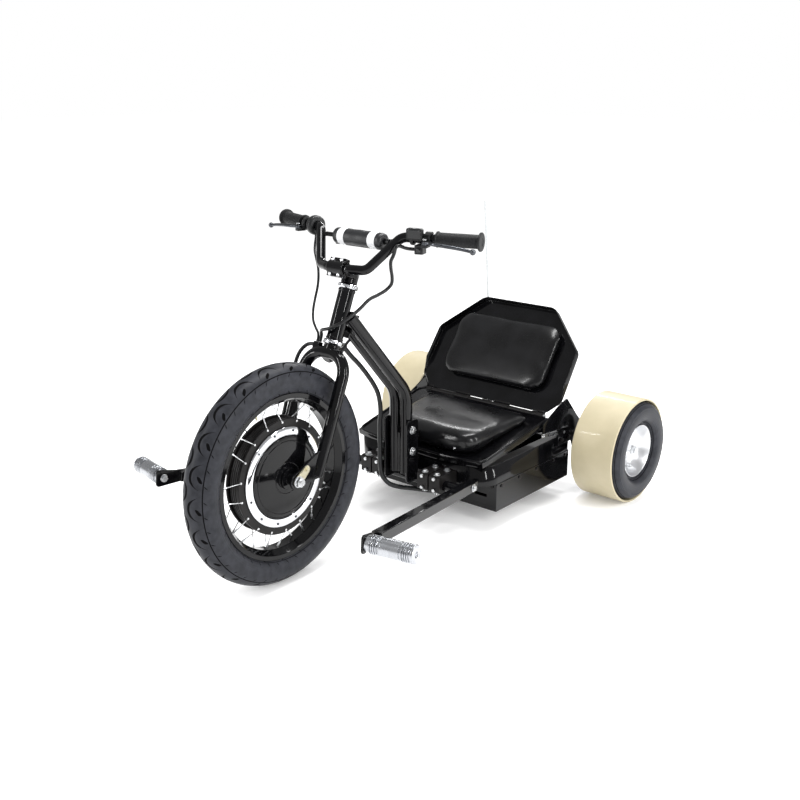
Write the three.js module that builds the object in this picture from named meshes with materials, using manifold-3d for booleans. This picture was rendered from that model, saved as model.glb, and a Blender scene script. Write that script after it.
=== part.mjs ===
// Drift trike: an electric three-wheeler with a hub motor in its spoked front wheel and two small
// sleeved rear wheels. Millimetres. X points to the rider's left, Y backwards and Z up. The origin is
// on the ground, under the middle
// of the trike's length and width.

import * as THREE from "three";
import { mergeVertices } from "three/addons/utils/BufferGeometryUtils.js";
import Module from "manifold-3d";

const wasm = await Module();
wasm.setup();

// Fits
const clearance = 0.3;
const overrun = 4;
const hexSides = 6;

// Layout
const wheelbase = 944;
const headTiltDegrees = 22.69;
const forkOffset = 70;
const crownClearance = 64.3;

// Front tyre
const frontTyreRadius = 255.8;
const frontTyreHalfWidth = 38.4;
const frontTyreRise = 38.8;
const frontTyreWall = 8;
const frontBeadHalfWidth = 25.4;
const frontBeadRadius = 187.7;
const frontBeadHeight = 4.6;
const frontTyreSweepDegrees = 124;
const frontTyreSteps = 6;
const frontTyreSquareness = 1;
const frontWheelSides = 32;

// Front rim
const rimLipRadius = 192;
const rimLipInnerRadius = 180;
const rimLipThickness = 2.6;
const rimWellRadius = 175;
const rimWellHalfWidth = 14;
const rimWall = 5;
const rimShoulderHalfWidth = 18;
const valveAngleDegrees = 21;
const valveRadius = 4;
const valveTipRadius = 155;

// Hub motor
const drumRadius = 128;
const drumHalfWidth = 15.8;
const drumWall = 18;
const flangeRadius = 134;
const flangeBoreRadius = 105;
const flangeThickness = 5;
const spokesPerFlange = 18;
const spokeRadius = 1.6;
const spokeSides = 4;
const spokeLeanDegrees = 4;
const spokeRimOffset = 5;
const hubSides = 20;
const hubCoverRadius = 104;
const hubCoverLip = 4.2;
const hubCoverFace = 24.6;
const hubCoverDomeRadius = 60;
const hubCoverDomeFace = 31;
const hubBossRadius = 25;
const hubBossFace = 43;
const hubNoseRadius = 13;
const hubNoseFace = 55;
const ringRadius = 117.6;
const ringThickness = 2.7;
const ringBoltCount = 12;
const ringBoltRadius = 3;
const ringBoltHeight = 1.6;
const ringBoltSides = 5;
const statorRadius = 98;
const statorHalfWidth = 13;

// Front axle, its nuts and the torque arm
const frontAxleRadius = 7;
const frontAxleNutRadius = 12;
const frontAxleNutLength = 7;
const frontAxleEnd = 5;
const torqueArmThickness = 3;
const torqueArmRadius = 13;
const torqueArmTipRadius = 9;
const torqueArmSlotRadius = 3.5;
const torqueArmReach = 34;
const torqueArmAngleDegrees = 28;

// Fork
const steererRadius = 14.3;
const steererSides = 12;
const crownRadius = 20;
const crownHeight = 26;
const legRadius = 14;
const legSides = 8;
const legHalfSpread = 62;
const legSetForward = 9.5;
const legArchRadius = 50;
const legLength = 302;
const dropoutThickness = 6;
const dropoutRadius = 20;
const dropoutHeight = 58;
const dropoutFrontShare = 0.8;
const dropoutBottomShare = 0.9;
const guideStart = 28;
const guideEnd = 46;
const guideHalfDepth = 7;
const guideSetForward = 9;
const guideTop = 6;
const guideHeight = 20;

// Head tube and headset
const headTubeRadius = 19.2;
const headTubeBoreRadius = 16.5;
const headsetSpacing = 132.2;
const headsetHeight = 12;
const headsetRadius = 24.5;
const headsetChamfer = 3;

// Stem
const stemHeight = 36;
const stemRadius = 19;
const stemRise = 164.7;
const stemReach = 46.8;
const stemBodyHalfWidth = 20;
const stemBodyHeight = 28;
const stemCapHeight = 4;
const clampHalfWidth = 24;
const clampRadius = 17;
const clampBoltSpacing = 26;
const clampBoltRadius = 4.5;
const clampBoltHead = 4;
const faceplateFlange = 22;
const faceplateThickness = 8;

// Handlebar
const barRadius = 11.1;
const barSides = 8;
const barClampHalfWidth = 32;
const barBendRadius = 28;
const barLowerBend = [70, -32, 170];
const barUpperBend = [125, -6, 261];
const barEnd = [302.8, 47.2, 283.2];
const crossbarRadius = 5.5;
const crossbarDrop = 16;
const padRadius = 19;
const padHalfLength = 70;
const padEdge = 5;
const padShift = 9;

// Grips and controls, measured outwards along the grip from the bar's upper bend
const gripStart = 83;
const gripRadius = 15.5;
const gripFlangeRadius = 18;
const gripFlangeThickness = 4;
const gripEndRadius = 21;
const gripEndThickness = 5;
const gripSides = 10;
const throttleStart = 17;
const throttleLength = 21;
const throttleRadius = 23;
const throttleNeckRadius = 18;
const perchStart = 58;
const perchLength = 14;
const perchRadius = 16;
const perchReach = 34;
const perchThickness = 6;
const leverPivotForward = 28;
const leverPivotDrop = 5;
const leverPivotRadius = 3;
const leverHubRadius = 7;
const leverThickness = 7;
const leverElbow = 24;
const leverElbowForward = 9;
const leverLength = 116;
const leverTipForward = 17;
const leverTipDrop = 9;
const displayStart = 19;
const displayWidth = 38;
const displayHeight = 27;
const displayDepth = 12;
const displayRise = 11;
const displayFoot = 8;
const switchStart = 34;
const switchWidth = 20;
const switchDrop = 20;
const switchDepth = 24;
const switchCollar = 15;

// Neck: twin tubes from the head tube down to the front cross tube
const neckTubeRadius = 16;
const neckTubeSpacing = 33;
const neckTubeSides = 10;
const neckJoint = 71;
const neckJointInset = 12;
const neckBendRise = 212;
const neckBendRadius = 80;
const neckY = 12;
const harnessClipRadius = 9;
const harnessClipThickness = 4;
const harnessClipStrutRadius = 4;
const harnessClipStrutEnd = [-18, -140, 522];

// Front cross tube, neck receiver and clamps
const crossTubeRadius = 13;
const crossTubeY = 30;
const crossTubeZ = 126;
const crossTubeHalfLength = 186;
const receiverThickness = 4.7;
const receiverGap = 0.8;
const receiverTop = 283;
const receiverBottom = 119;
const receiverFront = -10;
const receiverBack = 35;
const receiverCorner = 10;
const neckBoltRadius = 5;
const neckBoltHeadRadius = 8;
const neckBoltHead = 6;
const neckBoltHeights = [201, 257];
const clampBlockWidth = 34;
const clampBlockBottom = 109;
const clampBlockTop = 155;
const clampBlockFront = 5;
const clampBlockCentres = [76, 114];
const clampBlockChamfer = 4;
const blockBoltRadius = 6.5;
const blockBoltHead = 5;
const blockBoltSetback = 12;
const crossTubeSides = 12;

// Peg arms and foot pegs
const armInnerX = 204;
const armInnerY = 29.5;
const armInnerZ = 141.9;
const armPitchDegrees = 5.85;
const armSplayDegrees = 11.38;
const armLength = 493.5;
const armExtension = 50.3;
const armSize = 25;
const armPlateThickness = 5;
const armPlateHeight = 44;
const armPlateReach = 20;
const armPlateLength = 60;
const armPlateCorner = 10;
const armLugThickness = 5;
const armLugLength = 44;
const armLugDrop = 30;
const armBoltRadius = 4;
const pegRadius = 21;
const pegLength = 114;
const pegGroove = 2;
const pegBands = 3;
const pegSides = 10;
const pegBoltRadius = 7;
const pegBoltHead = 6;

// Base: tub, tube frame and battery box
const tubHalfWidth = 218;
const tubFront = 75;
const tubBack = 467;
const tubBottom = 122;
const tubTop = 174;
const tubCorner = 60;
const tubBackCorner = 6;
const sheet = 2.5;
const cornerSteps = 4;
const frameTube = 25;
const boxFront = 128;
const boxBottom = 47;
const boxSlotStart = 150;
const boxSlotEnd = 188;
const boxSlotHeight = 84;
const boxSlotRadius = 4;
const harnessHoleX = 118;
const harnessHoleZ = 84;
const harnessHoleRadius = 8;
const packHalfLength = 112;
const packWidth = 210;
const packHeight = 62;
const packCentreX = -70;
const packCentreY = 312;
const packCorner = 8;
const controllerWidth = 92;
const controllerLength = 150;
const controllerHeight = 44;
const controllerX = 118;
const controllerY = 290;
const controllerRibs = 6;
const controllerRibDepth = 6;

// Rear wheels
const rearWheelRadius = 142.5;
const rearWheelGap = 34.7;
const rearWheelSides = 20;
const sleeveWall = 5.2;
const sleeveHalfWidth = 61;
const sleeveChamfer = 2;
const rearTyreHalfWidth = 75;
const rearTyreRise = 32;
const rearTyreWall = 8;
const rearBeadHalfWidth = 56.6;
const rearBeadRadius = 71.4;
const rearBeadHeight = 6;
const rearTyreSweepDegrees = 135;
const rearTyreSteps = 6;
const rearTyreSquareness = 0.6;
const rearRimLipRadius = 71;
const rearRimHalfWidth = 56;
const rearRimBarrelRadius = 60;
const rearRimWall = 5;
const rearRimWebFace = 10;
const rearRimWebThickness = 8;
const rearHubRadius = 22;
const rearHubInner = 40;
const rearHubOuter = 44;

// Rear axle and its carriers
const rearAxleRadius = 10;
const rearAxleSides = 10;
const rearAxleCollarRadius = 15;
const rearAxleNutRadius = 15;
const rearAxleNutLength = 9;
const rearAxleEnd = 4;
const carrierThickness = 6;
const carrierBack = 556;
const carrierFront = 400;
const carrierTop = 275;
const carrierDrop = 26.5;
const carrierStep = 152;
const carrierShoulder = 262;
const carrierFootLength = 50;
const carrierSlopeY = 490;
const carrierSlopeZ = 220.3;
const linkFront = 324;
const linkFrontZ = 204;
const linkBackZ = 186;
const linkHeight = 8;
const linkWidth = 13;

// Seat tray and its hinge
const seatSlopeShare = 0.185;
const trayFrontInset = 9;
const trayFrontBow = 9;
const trayBowHalfWidth = 140;
const trayBackOverhang = 6;
const trayLip = 13.7;
const trayRise = 0.9;
const trayCorner = 12;
const hingeY = 365;
const hingeRadius = 7.5;
const hingePinRadius = 4;
const hingeInset = 19;
const knuckleCount = 13;
const knuckleGap = 0.8;
const knuckleSides = 8;

// Seat cushion
const cushionHalfWidth = 153;
const cushionOffset = 18;
const cushionFront = 12;
const cushionBack = 262;
const cushionHeight = 46;
const cushionCrown = 8;
const cushionCorner = 32;
const cushionDrawIn = 10;
const cushionRoll = 15;
const cushionBackHeightShare = 0.28;
const cushionBackWidthShare = 1.14;

// Shares of a stuffed pad's draw-in, roll, height and crown at the rings between its base and its middle
const padWaistShare = 0.33;
const padWaistHeightShare = 0.25;
const padWideHeightShare = 0.6;
const padShoulderShare = 0.17;
const padShoulderHeightShare = 0.83;
const padRiseShare = 3;
const padCrownShare = 0.88;

// Seat brackets
const bracketThickness = 3.5;
const bracketFront = 319;
const bracketTopY = 410;
const bracketTopZ = 275.5;
const bracketBackY = 440;
const bracketBackZ = 198;
const bracketFrontHeight = 26;
const bracketBoltRadius = 7;
const bracketBoltHead = 4;
const bracketBolts = [[406, 249], [430, 208]];
const bracketSpacerRadius = 5;
const bracketSpacerY = 338;

// Seat back
const backLeanDegrees = 36;
const backTopHalfWidth = 118;
const backWideOverhang = 13.5;
const backLowOverhang = 17;
const backFootInset = 18;
const backTop = 302;
const backWide = 190;
const backLow = 46;
const backFoot = 9;
const backFlange = 19;
const backFlangeLowShare = 0.2;
const backCorner = 8;
const backPadHalfWidth = 176;
const backPadBottom = 53;
const backPadTop = 256;
const backPadHeight = 24;
const backPadCrown = 7;
const backPadCorner = 50;
const backPadDrawIn = 9;
const backPadRoll = 13;
const backPadEndShare = 1;

// Flag pole
const poleRadius = 3;
const poleSides = 8;
const poleFoot = [-118, 560];
const poleTip = [-150, 560, 763];
const poleSocketRadius = 8;
const poleSocketHeight = 30;
const poleBracketHalfWidth = 15;
const poleBracketThickness = 5;

// Cables: routes as points chosen along the real cables
const cableSides = 6;
const thinCableRadius = 3;
const bundleRadius = 4;
const motorCableRadius = 4.5;
const harnessRadius = 6;
const cableSteps = 22;
const rightCableRoute = [
  [-151.2, -123.7, 743.7], [-151.2, -125, 734], [-147, -132, 722], [-137, -143, 709], [-123, -153, 695],
  [-108, -163, 679], [-94, -176, 659], [-84, -190, 637], [-77, -206, 613], [-71, -219, 590],
  [-64, -227, 568], [-55, -229, 552], [-46, -230.5, 541], [-42, -234.2, 531.3], [-42, -237.7, 522.5],
];
const leftCableRoute = [
  [156.4, -122, 742.2], [145, -125.7, 742.2], [139, -135, 744.5], [137, -147, 749], [136, -157, 752],
  [133, -163, 748], [129, -162, 738], [121, -158, 727], [113, -156, 715], [105, -147, 698],
  [95, -131, 672], [85, -123, 654], [77, -133, 641], [70, -153, 632], [63.5, -174, 624.5],
  [57.5, -200, 606], [50, -226, 590], [36, -246, 576], [12, -255, 564], [-11, -250, 557],
  [-26, -240, 549], [-33, -232, 540], [-33, -234.2, 531.3], [-33, -237.7, 522.5],
];
const motorCableRoute = [
  [-46.6, -241, 514.7], [-58, -241, 514.7], [-69, -245.5, 511], [-77, -254, 501], [-81, -263, 487],
  [-83, -271, 468], [-83, -281, 448], [-82, -292, 420], [-81, -303, 390], [-80, -315, 360],
  [-80, -328, 332], [-82, -345, 306], [-87, -366, 284], [-93, -386, 269], [-98, -402, 260],
  [-99, -412, 256.8], [-94, -415.4, 255.8], [-81.2, -415.4, 255.8],
];
const harnessRoute = [
  [-42, -148, 490.4], [-42, -141.4, 482.9], [-42, -122, 462], [-42, -96, 437],
  [-42, -70, 408], [-42, -46, 378], [-43, -27, 348], [-44, -18, 318], [-44, -16, 290],
  [-45, -18, 262], [-45, -18, 234], [-45, -18, 206], [-44, -19, 178], [-41, -21, 150],
  [-34, -21, 126], [-18, -12, 106], [4, 6, 97], [30, 28, 93], [58, 50, 89], [86, 74, 86],
  [106, 94, 84], [116, 112, 84], [118, 130, 84], [118, 160, 83], [118, 190, 81], [118, 214.5, 80],
];

// The head's place that the routes were laid out for
const routeHeadY = -227.2906;
const routeHeadZ = 524.1238;

// Places worked out from the sizes above
const degree = Math.PI / 180;
const headTilt = headTiltDegrees * degree;
const forkLength = frontTyreRadius + crownClearance;
const trikeLength = frontTyreRadius + wheelbase + rearWheelRadius;
const frontAxleY = frontTyreRadius - trikeLength / 2;
const rearAxleY = frontAxleY + wheelbase;
const headY = frontAxleY + forkOffset * Math.cos(headTilt) + forkLength * Math.sin(headTilt);
const headZ = frontTyreRadius - forkOffset * Math.sin(headTilt) + forkLength * Math.cos(headTilt);
const neckTubeX = neckTubeSpacing / 2;
const neckBottom = crossTubeZ + crossTubeRadius + clearance;
const receiverX = neckTubeX + neckTubeRadius + receiverGap;
const seatSlope = Math.atan(seatSlopeShare);
const trayLength = (hingeY - tubFront) / Math.cos(seatSlope);
const trayFrontZ = tubTop + trayRise + trayLip * Math.cos(seatSlope);
const hingeAxisY = hingeY + sheet * Math.sin(seatSlope);
const hingeAxisZ = trayFrontZ + trayLength * Math.sin(seatSlope) - sheet * Math.cos(seatSlope);
const carrierX = tubHalfWidth + clearance;
const carrierBottom = rearWheelRadius - carrierDrop;
const bracketX = carrierX + carrierThickness + clearance;
const rearWheelX = carrierX + carrierThickness + rearWheelGap + rearTyreHalfWidth;
const trayFrontHalfWidth = tubHalfWidth - trayFrontInset;
const trayBackHalfWidth = tubHalfWidth + trayBackOverhang;
const hingeHalfLength = tubHalfWidth - hingeInset;
const backFootHalfWidth = tubHalfWidth - backFootInset;
const backWideHalfWidth = tubHalfWidth + backWideOverhang;
const backLowHalfWidth = tubHalfWidth + backLowOverhang;
const dropoutX = legHalfSpread - dropoutThickness / 2;
const spokeEndRadius = rimWellRadius - rimWall - clearance - spokeRadius / 2;
const flangeX = drumHalfWidth + clearance;
const hubRingX = flangeX + flangeThickness + clearance;
const axleNutX = dropoutX + dropoutThickness + torqueArmThickness + 2 * clearance;
const sleeveRadius = rearWheelRadius - sleeveWall;
const rearTyreRadius = sleeveRadius - clearance;

// Geometry helpers

// One closed body with shared corners, no empty triangles and its faces pointing out.
function closed(geometry) {
  const bare = geometry.clone();
  bare.deleteAttribute("normal");
  bare.deleteAttribute("uv");
  const merged = mergeVertices(bare);
  const places = merged.getAttribute("position");
  const corner = (index) => new THREE.Vector3().fromBufferAttribute(places, index);
  const faces = [];
  let volume = 0;
  for (let i = 0; i < merged.index.count; i += 3) {
    const [a, b, c] = [0, 1, 2].map((k) => merged.index.getX(i + k));
    if (a === b || b === c || c === a) continue;
    faces.push([a, b, c]);
    volume += corner(a).dot(corner(b).cross(corner(c)));
  }
  const outward = volume < 0 ? faces.map(([a, b, c]) => [a, c, b]) : faces;
  const result = new THREE.BufferGeometry();
  result.setAttribute("position", places.clone());
  result.setIndex(outward.flat());
  return result;
}

function toManifold(geometry) {
  const whole = closed(geometry);
  return new wasm.Manifold(new wasm.Mesh({
    numProp: 3,
    vertProperties: new Float32Array(whole.getAttribute("position").array),
    triVerts: new Uint32Array(whole.index.array),
  }));
}

function fromManifold(manifold) {
  const mesh = manifold.getMesh();
  const geometry = new THREE.BufferGeometry();
  geometry.setAttribute("position", new THREE.BufferAttribute(new Float32Array(mesh.vertProperties), 3));
  geometry.setIndex(new THREE.BufferAttribute(new Uint32Array(mesh.triVerts), 1));
  return geometry;
}

function join(...pieces) {
  return fromManifold(pieces.map(toManifold).reduce((whole, piece) => whole.add(piece)));
}

function cut(body, ...cutters) {
  const rest = cutters.map(toManifold).reduce((left, cutter) => left.subtract(cutter), toManifold(body));
  return fromManifold(rest);
}

function mirrored(geometry) {
  return closed(geometry.clone().scale(-1, 1, 1));
}

function block(x0, x1, y0, y1, z0, z1) {
  const box = new THREE.BoxGeometry(x1 - x0, y1 - y0, z1 - z0);
  return box.translate((x0 + x1) / 2, (y0 + y1) / 2, (z0 + z1) / 2);
}

// A straight round bar between two points.
function rod(from, to, radius, sides) {
  const start = new THREE.Vector3(...from);
  const span = new THREE.Vector3(...to).sub(start);
  const upwards = new THREE.Vector3(0, 1, 0);
  const turn = new THREE.Quaternion().setFromUnitVectors(upwards, span.clone().normalize());
  const middle = start.clone().addScaledVector(span, 1 / 2);
  return new THREE.CylinderGeometry(radius, radius, span.length(), sides)
    .applyQuaternion(turn)
    .translate(middle.x, middle.y, middle.z);
}

// A round cutter whose flats, not its corners, have the given radius.
function hole(from, to, radius, sides) {
  return rod(from, to, radius / Math.cos(Math.PI / sides), sides);
}

// A body turned round the X axis from a closed outline of [x, radius] pairs. The radii are those of the flats,
// and a flat faces down.
function turned(outline, sides) {
  const toCorner = 1 / Math.cos(Math.PI / sides);
  const points = [...outline, outline[0]].map(([x, radius]) => new THREE.Vector2(radius * toCorner, x));
  return closed(new THREE.LatheGeometry(points, sides).rotateZ(-Math.PI / 2).rotateX(Math.PI / sides));
}

// The same round the Z axis, from [radius, z] pairs.
function turnedUpright(outline, sides) {
  return turned(outline.map(([radius, z]) => [z, radius]), sides).rotateY(-Math.PI / 2);
}

function mirrorOutline(half) {
  return [...half, ...half.toReversed().map(([x, radius]) => [-x, radius])];
}

// Rounds the inner corners of a path in space: each gets an arc of the given radius in a few steps.
function rounded(points, radius, steps, closedLoop = false) {
  const corners = points.map((point) => new THREE.Vector3(...point, ...(point.length < 3 ? [0] : [])));
  const count = corners.length;
  const radii = Array.isArray(radius) ? radius : corners.map(() => radius);
  return corners.flatMap((corner, i) => {
    if (!closedLoop && (i === 0 || i === count - 1)) return [corner];
    const before = corner.clone().sub(corners[(i + count - 1) % count]).normalize();
    const after = corners[(i + 1) % count].clone().sub(corner).normalize();
    const turn = before.angleTo(after);
    const side = after.clone().addScaledVector(before, -Math.cos(turn)).normalize();
    const start = corner.clone().addScaledVector(before, -radii[i] * Math.tan(turn / 2));
    return Array.from({ length: steps + 1 }, (_, k) => {
      const angle = (turn * k) / steps;
      return start.clone()
        .addScaledVector(before, radii[i] * Math.sin(angle))
        .addScaledVector(side, radii[i] * (1 - Math.cos(angle)));
    });
  });
}

function outlineShape(points) {
  return new THREE.Shape(points.map((point) => new THREE.Vector2(point.x ?? point[0], point.y ?? point[1])));
}

// A flat plate: an outline in X and Y raised from z0 to z1.
function plate(points, z0, z1) {
  const raised = new THREE.ExtrudeGeometry(outlineShape(points), { depth: z1 - z0, bevelEnabled: false });
  return closed(raised.translate(0, 0, z0));
}

// An upright plate: an outline in Y and Z between x0 and x1.
function sidePlate(points, x0, x1) {
  const turn = new THREE.Matrix4().makeBasis(
    new THREE.Vector3(0, 1, 0), new THREE.Vector3(0, 0, 1), new THREE.Vector3(1, 0, 0));
  return plate(points, x0, x1).applyMatrix4(turn);
}

// A path whose steps fall on its own stations, so that a swept tube has one ring at each.
class Run extends THREE.Curve {
  constructor(stations) {
    super();
    this.stations = stations;
  }

  getPoint(t) {
    const place = t * (this.stations.length - 1);
    const index = Math.min(Math.floor(place), this.stations.length - 2);
    return this.stations[index].clone().lerp(this.stations[index + 1], place - index);
  }

  getPointAt(u) {
    return this.getPoint(u);
  }

  getTangentAt(u) {
    const place = Math.round(u * (this.stations.length - 1));
    const before = this.stations[Math.max(place - 1, 0)];
    const after = this.stations[Math.min(place + 1, this.stations.length - 1)];
    return after.clone().sub(before).normalize();
  }
}

function sweep(stations, radius, sides) {
  const section = Array.from({ length: sides }, (_, k) => {
    const angle = (2 * Math.PI * (k + 1 / 2)) / sides;
    return [radius * Math.cos(angle), radius * Math.sin(angle)];
  });
  const options = { steps: stations.length - 1, extrudePath: new Run(stations), bevelEnabled: false };
  return closed(new THREE.ExtrudeGeometry(outlineShape(section), options));
}

// A cable along a smooth curve through its points.
function cable(points, radius) {
  const knots = points.map((point) => new THREE.Vector3(...point));
  const curve = new THREE.CatmullRomCurve3(knots, false, "centripetal");
  return sweep(curve.getSpacedPoints(cableSteps), radius, cableSides);
}

// Points that the head carries with it where it moves: those at its height wholly, those at lowZ not
// at all.
function carried(points, lowZ) {
  return points.map(([x, y, z]) => {
    const share = Math.min(Math.max((z - lowZ) / (routeHeadZ - lowZ), 0), 1);
    return [x, y + (headY - routeHeadY) * share, z + (headZ - routeHeadZ) * share];
  });
}

function roundedRectangle(x0, x1, y0, y1, radii) {
  return rounded([[x0, y0], [x1, y0], [x1, y1], [x0, y1]], radii, cornerSteps, true);
}

// A stuffed pad on an XY outline: its sides draw in at the base, its edge rolls over and its top is crowned. Its
// height and width change towards the end of Y by the two shares.
function stuffedPad({ x0, x1, y0, y1, corner, height, crown, drawIn, roll, heightShare, widthShare }) {
  const middle = (x0 + x1) / 2;
  const shaped = ([x, y, z]) => {
    const along = (y - y0) / (y1 - y0);
    return [middle + (x - middle) * (1 + (widthShare - 1) * along), y, z * (1 + (heightShare - 1) * along)];
  };
  const levels = [
    [drawIn, 0], [drawIn * padWaistShare, height * padWaistHeightShare], [0, height * padWideHeightShare],
    [roll * padShoulderShare, height * padShoulderHeightShare], [roll, height],
    [roll * padRiseShare, height + crown / 2], [(y1 - y0) / 3, height + crown * padCrownShare],
  ];
  const rings = levels.map(([inset, z]) => {
    const radius = Math.max(corner - inset / 2, corner / 3);
    const outline = roundedRectangle(x0 + inset, x1 - inset, y0 + inset, y1 - inset, radius);
    return outline.flatMap((point, i) => {
      const next = outline[(i + 1) % outline.length];
      const endsArc = i % (cornerSteps + 1) === cornerSteps;
      return endsArc ? [point, point.clone().lerp(next, 1 / 2)] : [point];
    }).map((point) => [point.x, point.y, z]);
  });
  const count = rings[0].length;
  const base = rings.length * count;
  const centre = [middle, (y0 + y1) / 2];
  const vertices = [...rings.flat(), [...centre, height + crown], [...centre, 0]].map(shaped);
  const faces = [];
  for (let i = 0; i < count; i += 1) {
    const next = (i + 1) % count;
    for (let level = 0; level < rings.length - 1; level += 1) {
      const low = level * count;
      const high = low + count;
      faces.push([low + i, low + next, high + next], [low + i, high + next, high + i]);
    }
    faces.push([base - count + i, base - count + next, base], [next, i, base + 1]);
  }
  const geometry = new THREE.BufferGeometry();
  geometry.setAttribute("position", new THREE.Float32BufferAttribute(vertices.flat(), 3));
  geometry.setIndex(faces.flat());
  return closed(geometry);
}

// Finishes
function finish(color, roughness, metalness) {
  return new THREE.MeshStandardMaterial({ color, roughness, metalness });
}

const blackPaint = () => finish(0x15161a, 0.3, 0.1);
const satinBlackPaint = () => finish(0x1b1c20, 0.5, 0.1);
const blackPlastic = () => finish(0x1d1e21, 0.6, 0);
const blackVinyl = () => finish(0x1a1b1e, 0.45, 0);
const tyreRubber = () => finish(0x232427, 0.8, 0);
const gripRubber = () => finish(0x202124, 0.85, 0);
const cableSkin = () => finish(0x18191b, 0.6, 0);
const foam = () => finish(0x1c1d20, 0.7, 0);
const chromeSteel = () => finish(0xd6d7d9, 0.18, 1);
const zincSteel = () => finish(0xb9b8b2, 0.4, 1);
const castAluminium = () => finish(0xc3c5c8, 0.35, 1);
const sleevePlastic = () => finish(0xe3dbb9, 0.45, 0);
const packWrap = () => finish(0x2b3c66, 0.5, 0);
const fibreglass = () => finish(0xe9eaea, 0.5, 0);

// Groups
const trike = new THREE.Group();
const steering = new THREE.Group();
const frontWheel = new THREE.Group();
const seat = new THREE.Group();
const seatBack = new THREE.Group();
trike.add(steering, seat, seatBack);
steering.add(frontWheel);
steering.position.set(0, headY, headZ);
steering.rotation.x = -headTilt;
frontWheel.position.set(0, -forkOffset, -forkLength);
frontWheel.rotation.x = headTilt;
seat.position.set(0, tubFront, trayFrontZ);
seat.rotation.x = seatSlope;
seatBack.position.set(0, hingeAxisY, hingeAxisZ);
seatBack.rotation.x = Math.PI / 2 - backLeanDegrees * degree;

function part(name, geometry, material, parent = trike) {
  const mesh = new THREE.Mesh(closed(geometry), material);
  mesh.name = name;
  parent.add(mesh);
  return mesh;
}

const sides = [["left", 1], ["right", -1]];
const onSide = (geometry, side) => (side > 0 ? geometry : mirrored(geometry));

// Wheels

// A hollow tyre, open at the bead: round at squareness 1, and squarer in the shoulders below it.
function tyreOutline({
  halfWidth, radius, rise, wall, beadHalfWidth, beadRadius, beadHeight, sweepDegrees, steps, squareness,
}) {
  const bow = (value) => Math.sign(value) * Math.abs(value) ** squareness;
  const ring = (angle, depth) => {
    const across = (halfWidth - depth) * bow(Math.sin(angle));
    return [across, radius - rise + (rise - depth) * bow(Math.cos(angle))];
  };
  const outside = Array.from({ length: steps + 1 }, (_, k) => {
    return ring((2 * k / steps - 1) * sweepDegrees * degree, 0);
  });
  const inside = [1, 0, -1].map((turn) => ring(turn * Math.PI / 2, wall));
  const bead = [
    [beadHalfWidth, beadRadius + beadHeight], [beadHalfWidth, beadRadius], [beadHalfWidth - wall, beadRadius],
  ];
  return [...bead.toReversed().map(([x, r]) => [-x, r]), ...outside, ...bead, ...inside];
}

const frontTyre = tyreOutline({
  halfWidth: frontTyreHalfWidth,
  radius: frontTyreRadius,
  rise: frontTyreRise,
  wall: frontTyreWall,
  beadHalfWidth: frontBeadHalfWidth,
  beadRadius: frontBeadRadius,
  beadHeight: frontBeadHeight,
  sweepDegrees: frontTyreSweepDegrees,
  steps: frontTyreSteps,
  squareness: frontTyreSquareness,
});
part("front_tyre", turned(frontTyre, frontWheelSides), tyreRubber(), frontWheel);

function frontRim() {
  const lip = frontBeadHalfWidth + 2 * clearance;
  const ledge = frontBeadRadius - clearance;
  const outside = [
    [rimWellHalfWidth, rimWellRadius], [rimShoulderHalfWidth, ledge], [lip, ledge],
    [lip, rimLipRadius], [lip + rimLipThickness, rimLipRadius], [lip + rimLipThickness, rimLipInnerRadius],
    [rimWellHalfWidth - clearance, rimWellRadius - rimWall],
  ];
  const valve = rod([0, 0, rimWellRadius], [0, 0, valveTipRadius], valveRadius, spokeSides * 2);
  return join(turned(mirrorOutline(outside), frontWheelSides), valve.rotateX(valveAngleDegrees * degree));
}
part("front_rim", frontRim(), satinBlackPaint(), frontWheel);

// A ring with half of the spokes: they leave it in pairs that lean to each other and end just short of the rim.
function spokeFlange(turn) {
  const ring = turned([
    [flangeX, flangeBoreRadius], [flangeX, flangeRadius],
    [flangeX + flangeThickness, flangeRadius], [flangeX + flangeThickness, flangeBoreRadius],
  ], hubSides);
  const middle = flangeX + flangeThickness / 2;
  const root = flangeRadius - flangeThickness;
  const spokes = Array.from({ length: spokesPerFlange }, (_, k) => {
    const start = (2 * Math.PI * k) / spokesPerFlange + turn;
    const end = start + (k % 2 ? 1 : -1) * spokeLeanDegrees * degree;
    const from = [middle, root * Math.sin(start), root * Math.cos(start)];
    const to = [spokeRimOffset, spokeEndRadius * Math.sin(end), spokeEndRadius * Math.cos(end)];
    return rod(from, to, spokeRadius, spokeSides);
  });
  return join(ring, ...spokes);
}
for (const [name, side] of sides) {
  const turn = side > 0 ? 0 : Math.PI / spokesPerFlange;
  part(`spoke_flange_${name}`, onSide(spokeFlange(turn), side), zincSteel(), frontWheel);
}

const hubCoverOutline = [
  [flangeX, frontAxleRadius + 2 * clearance], [drumHalfWidth + clearance / 2, flangeBoreRadius - clearance],
  [hubRingX, flangeBoreRadius - clearance], [hubRingX, hubCoverRadius + hubCoverLip],
  [hubRingX + ringThickness, hubCoverRadius + hubCoverLip], [hubCoverFace, hubCoverRadius],
  [hubCoverDomeFace, hubCoverDomeRadius], [hubCoverDomeFace + ringThickness, hubBossRadius],
  [hubBossFace, hubBossRadius], [hubBossFace, hubNoseRadius], [hubNoseFace, hubNoseRadius],
  [hubNoseFace, frontAxleRadius + 2 * clearance],
];
const hubRingOutline = [
  [hubRingX, hubCoverRadius + hubCoverLip + clearance], [hubRingX, ringRadius],
  [hubRingX + ringThickness, ringRadius],
  [hubRingX + ringThickness, hubCoverRadius + hubCoverLip + clearance],
];

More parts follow.
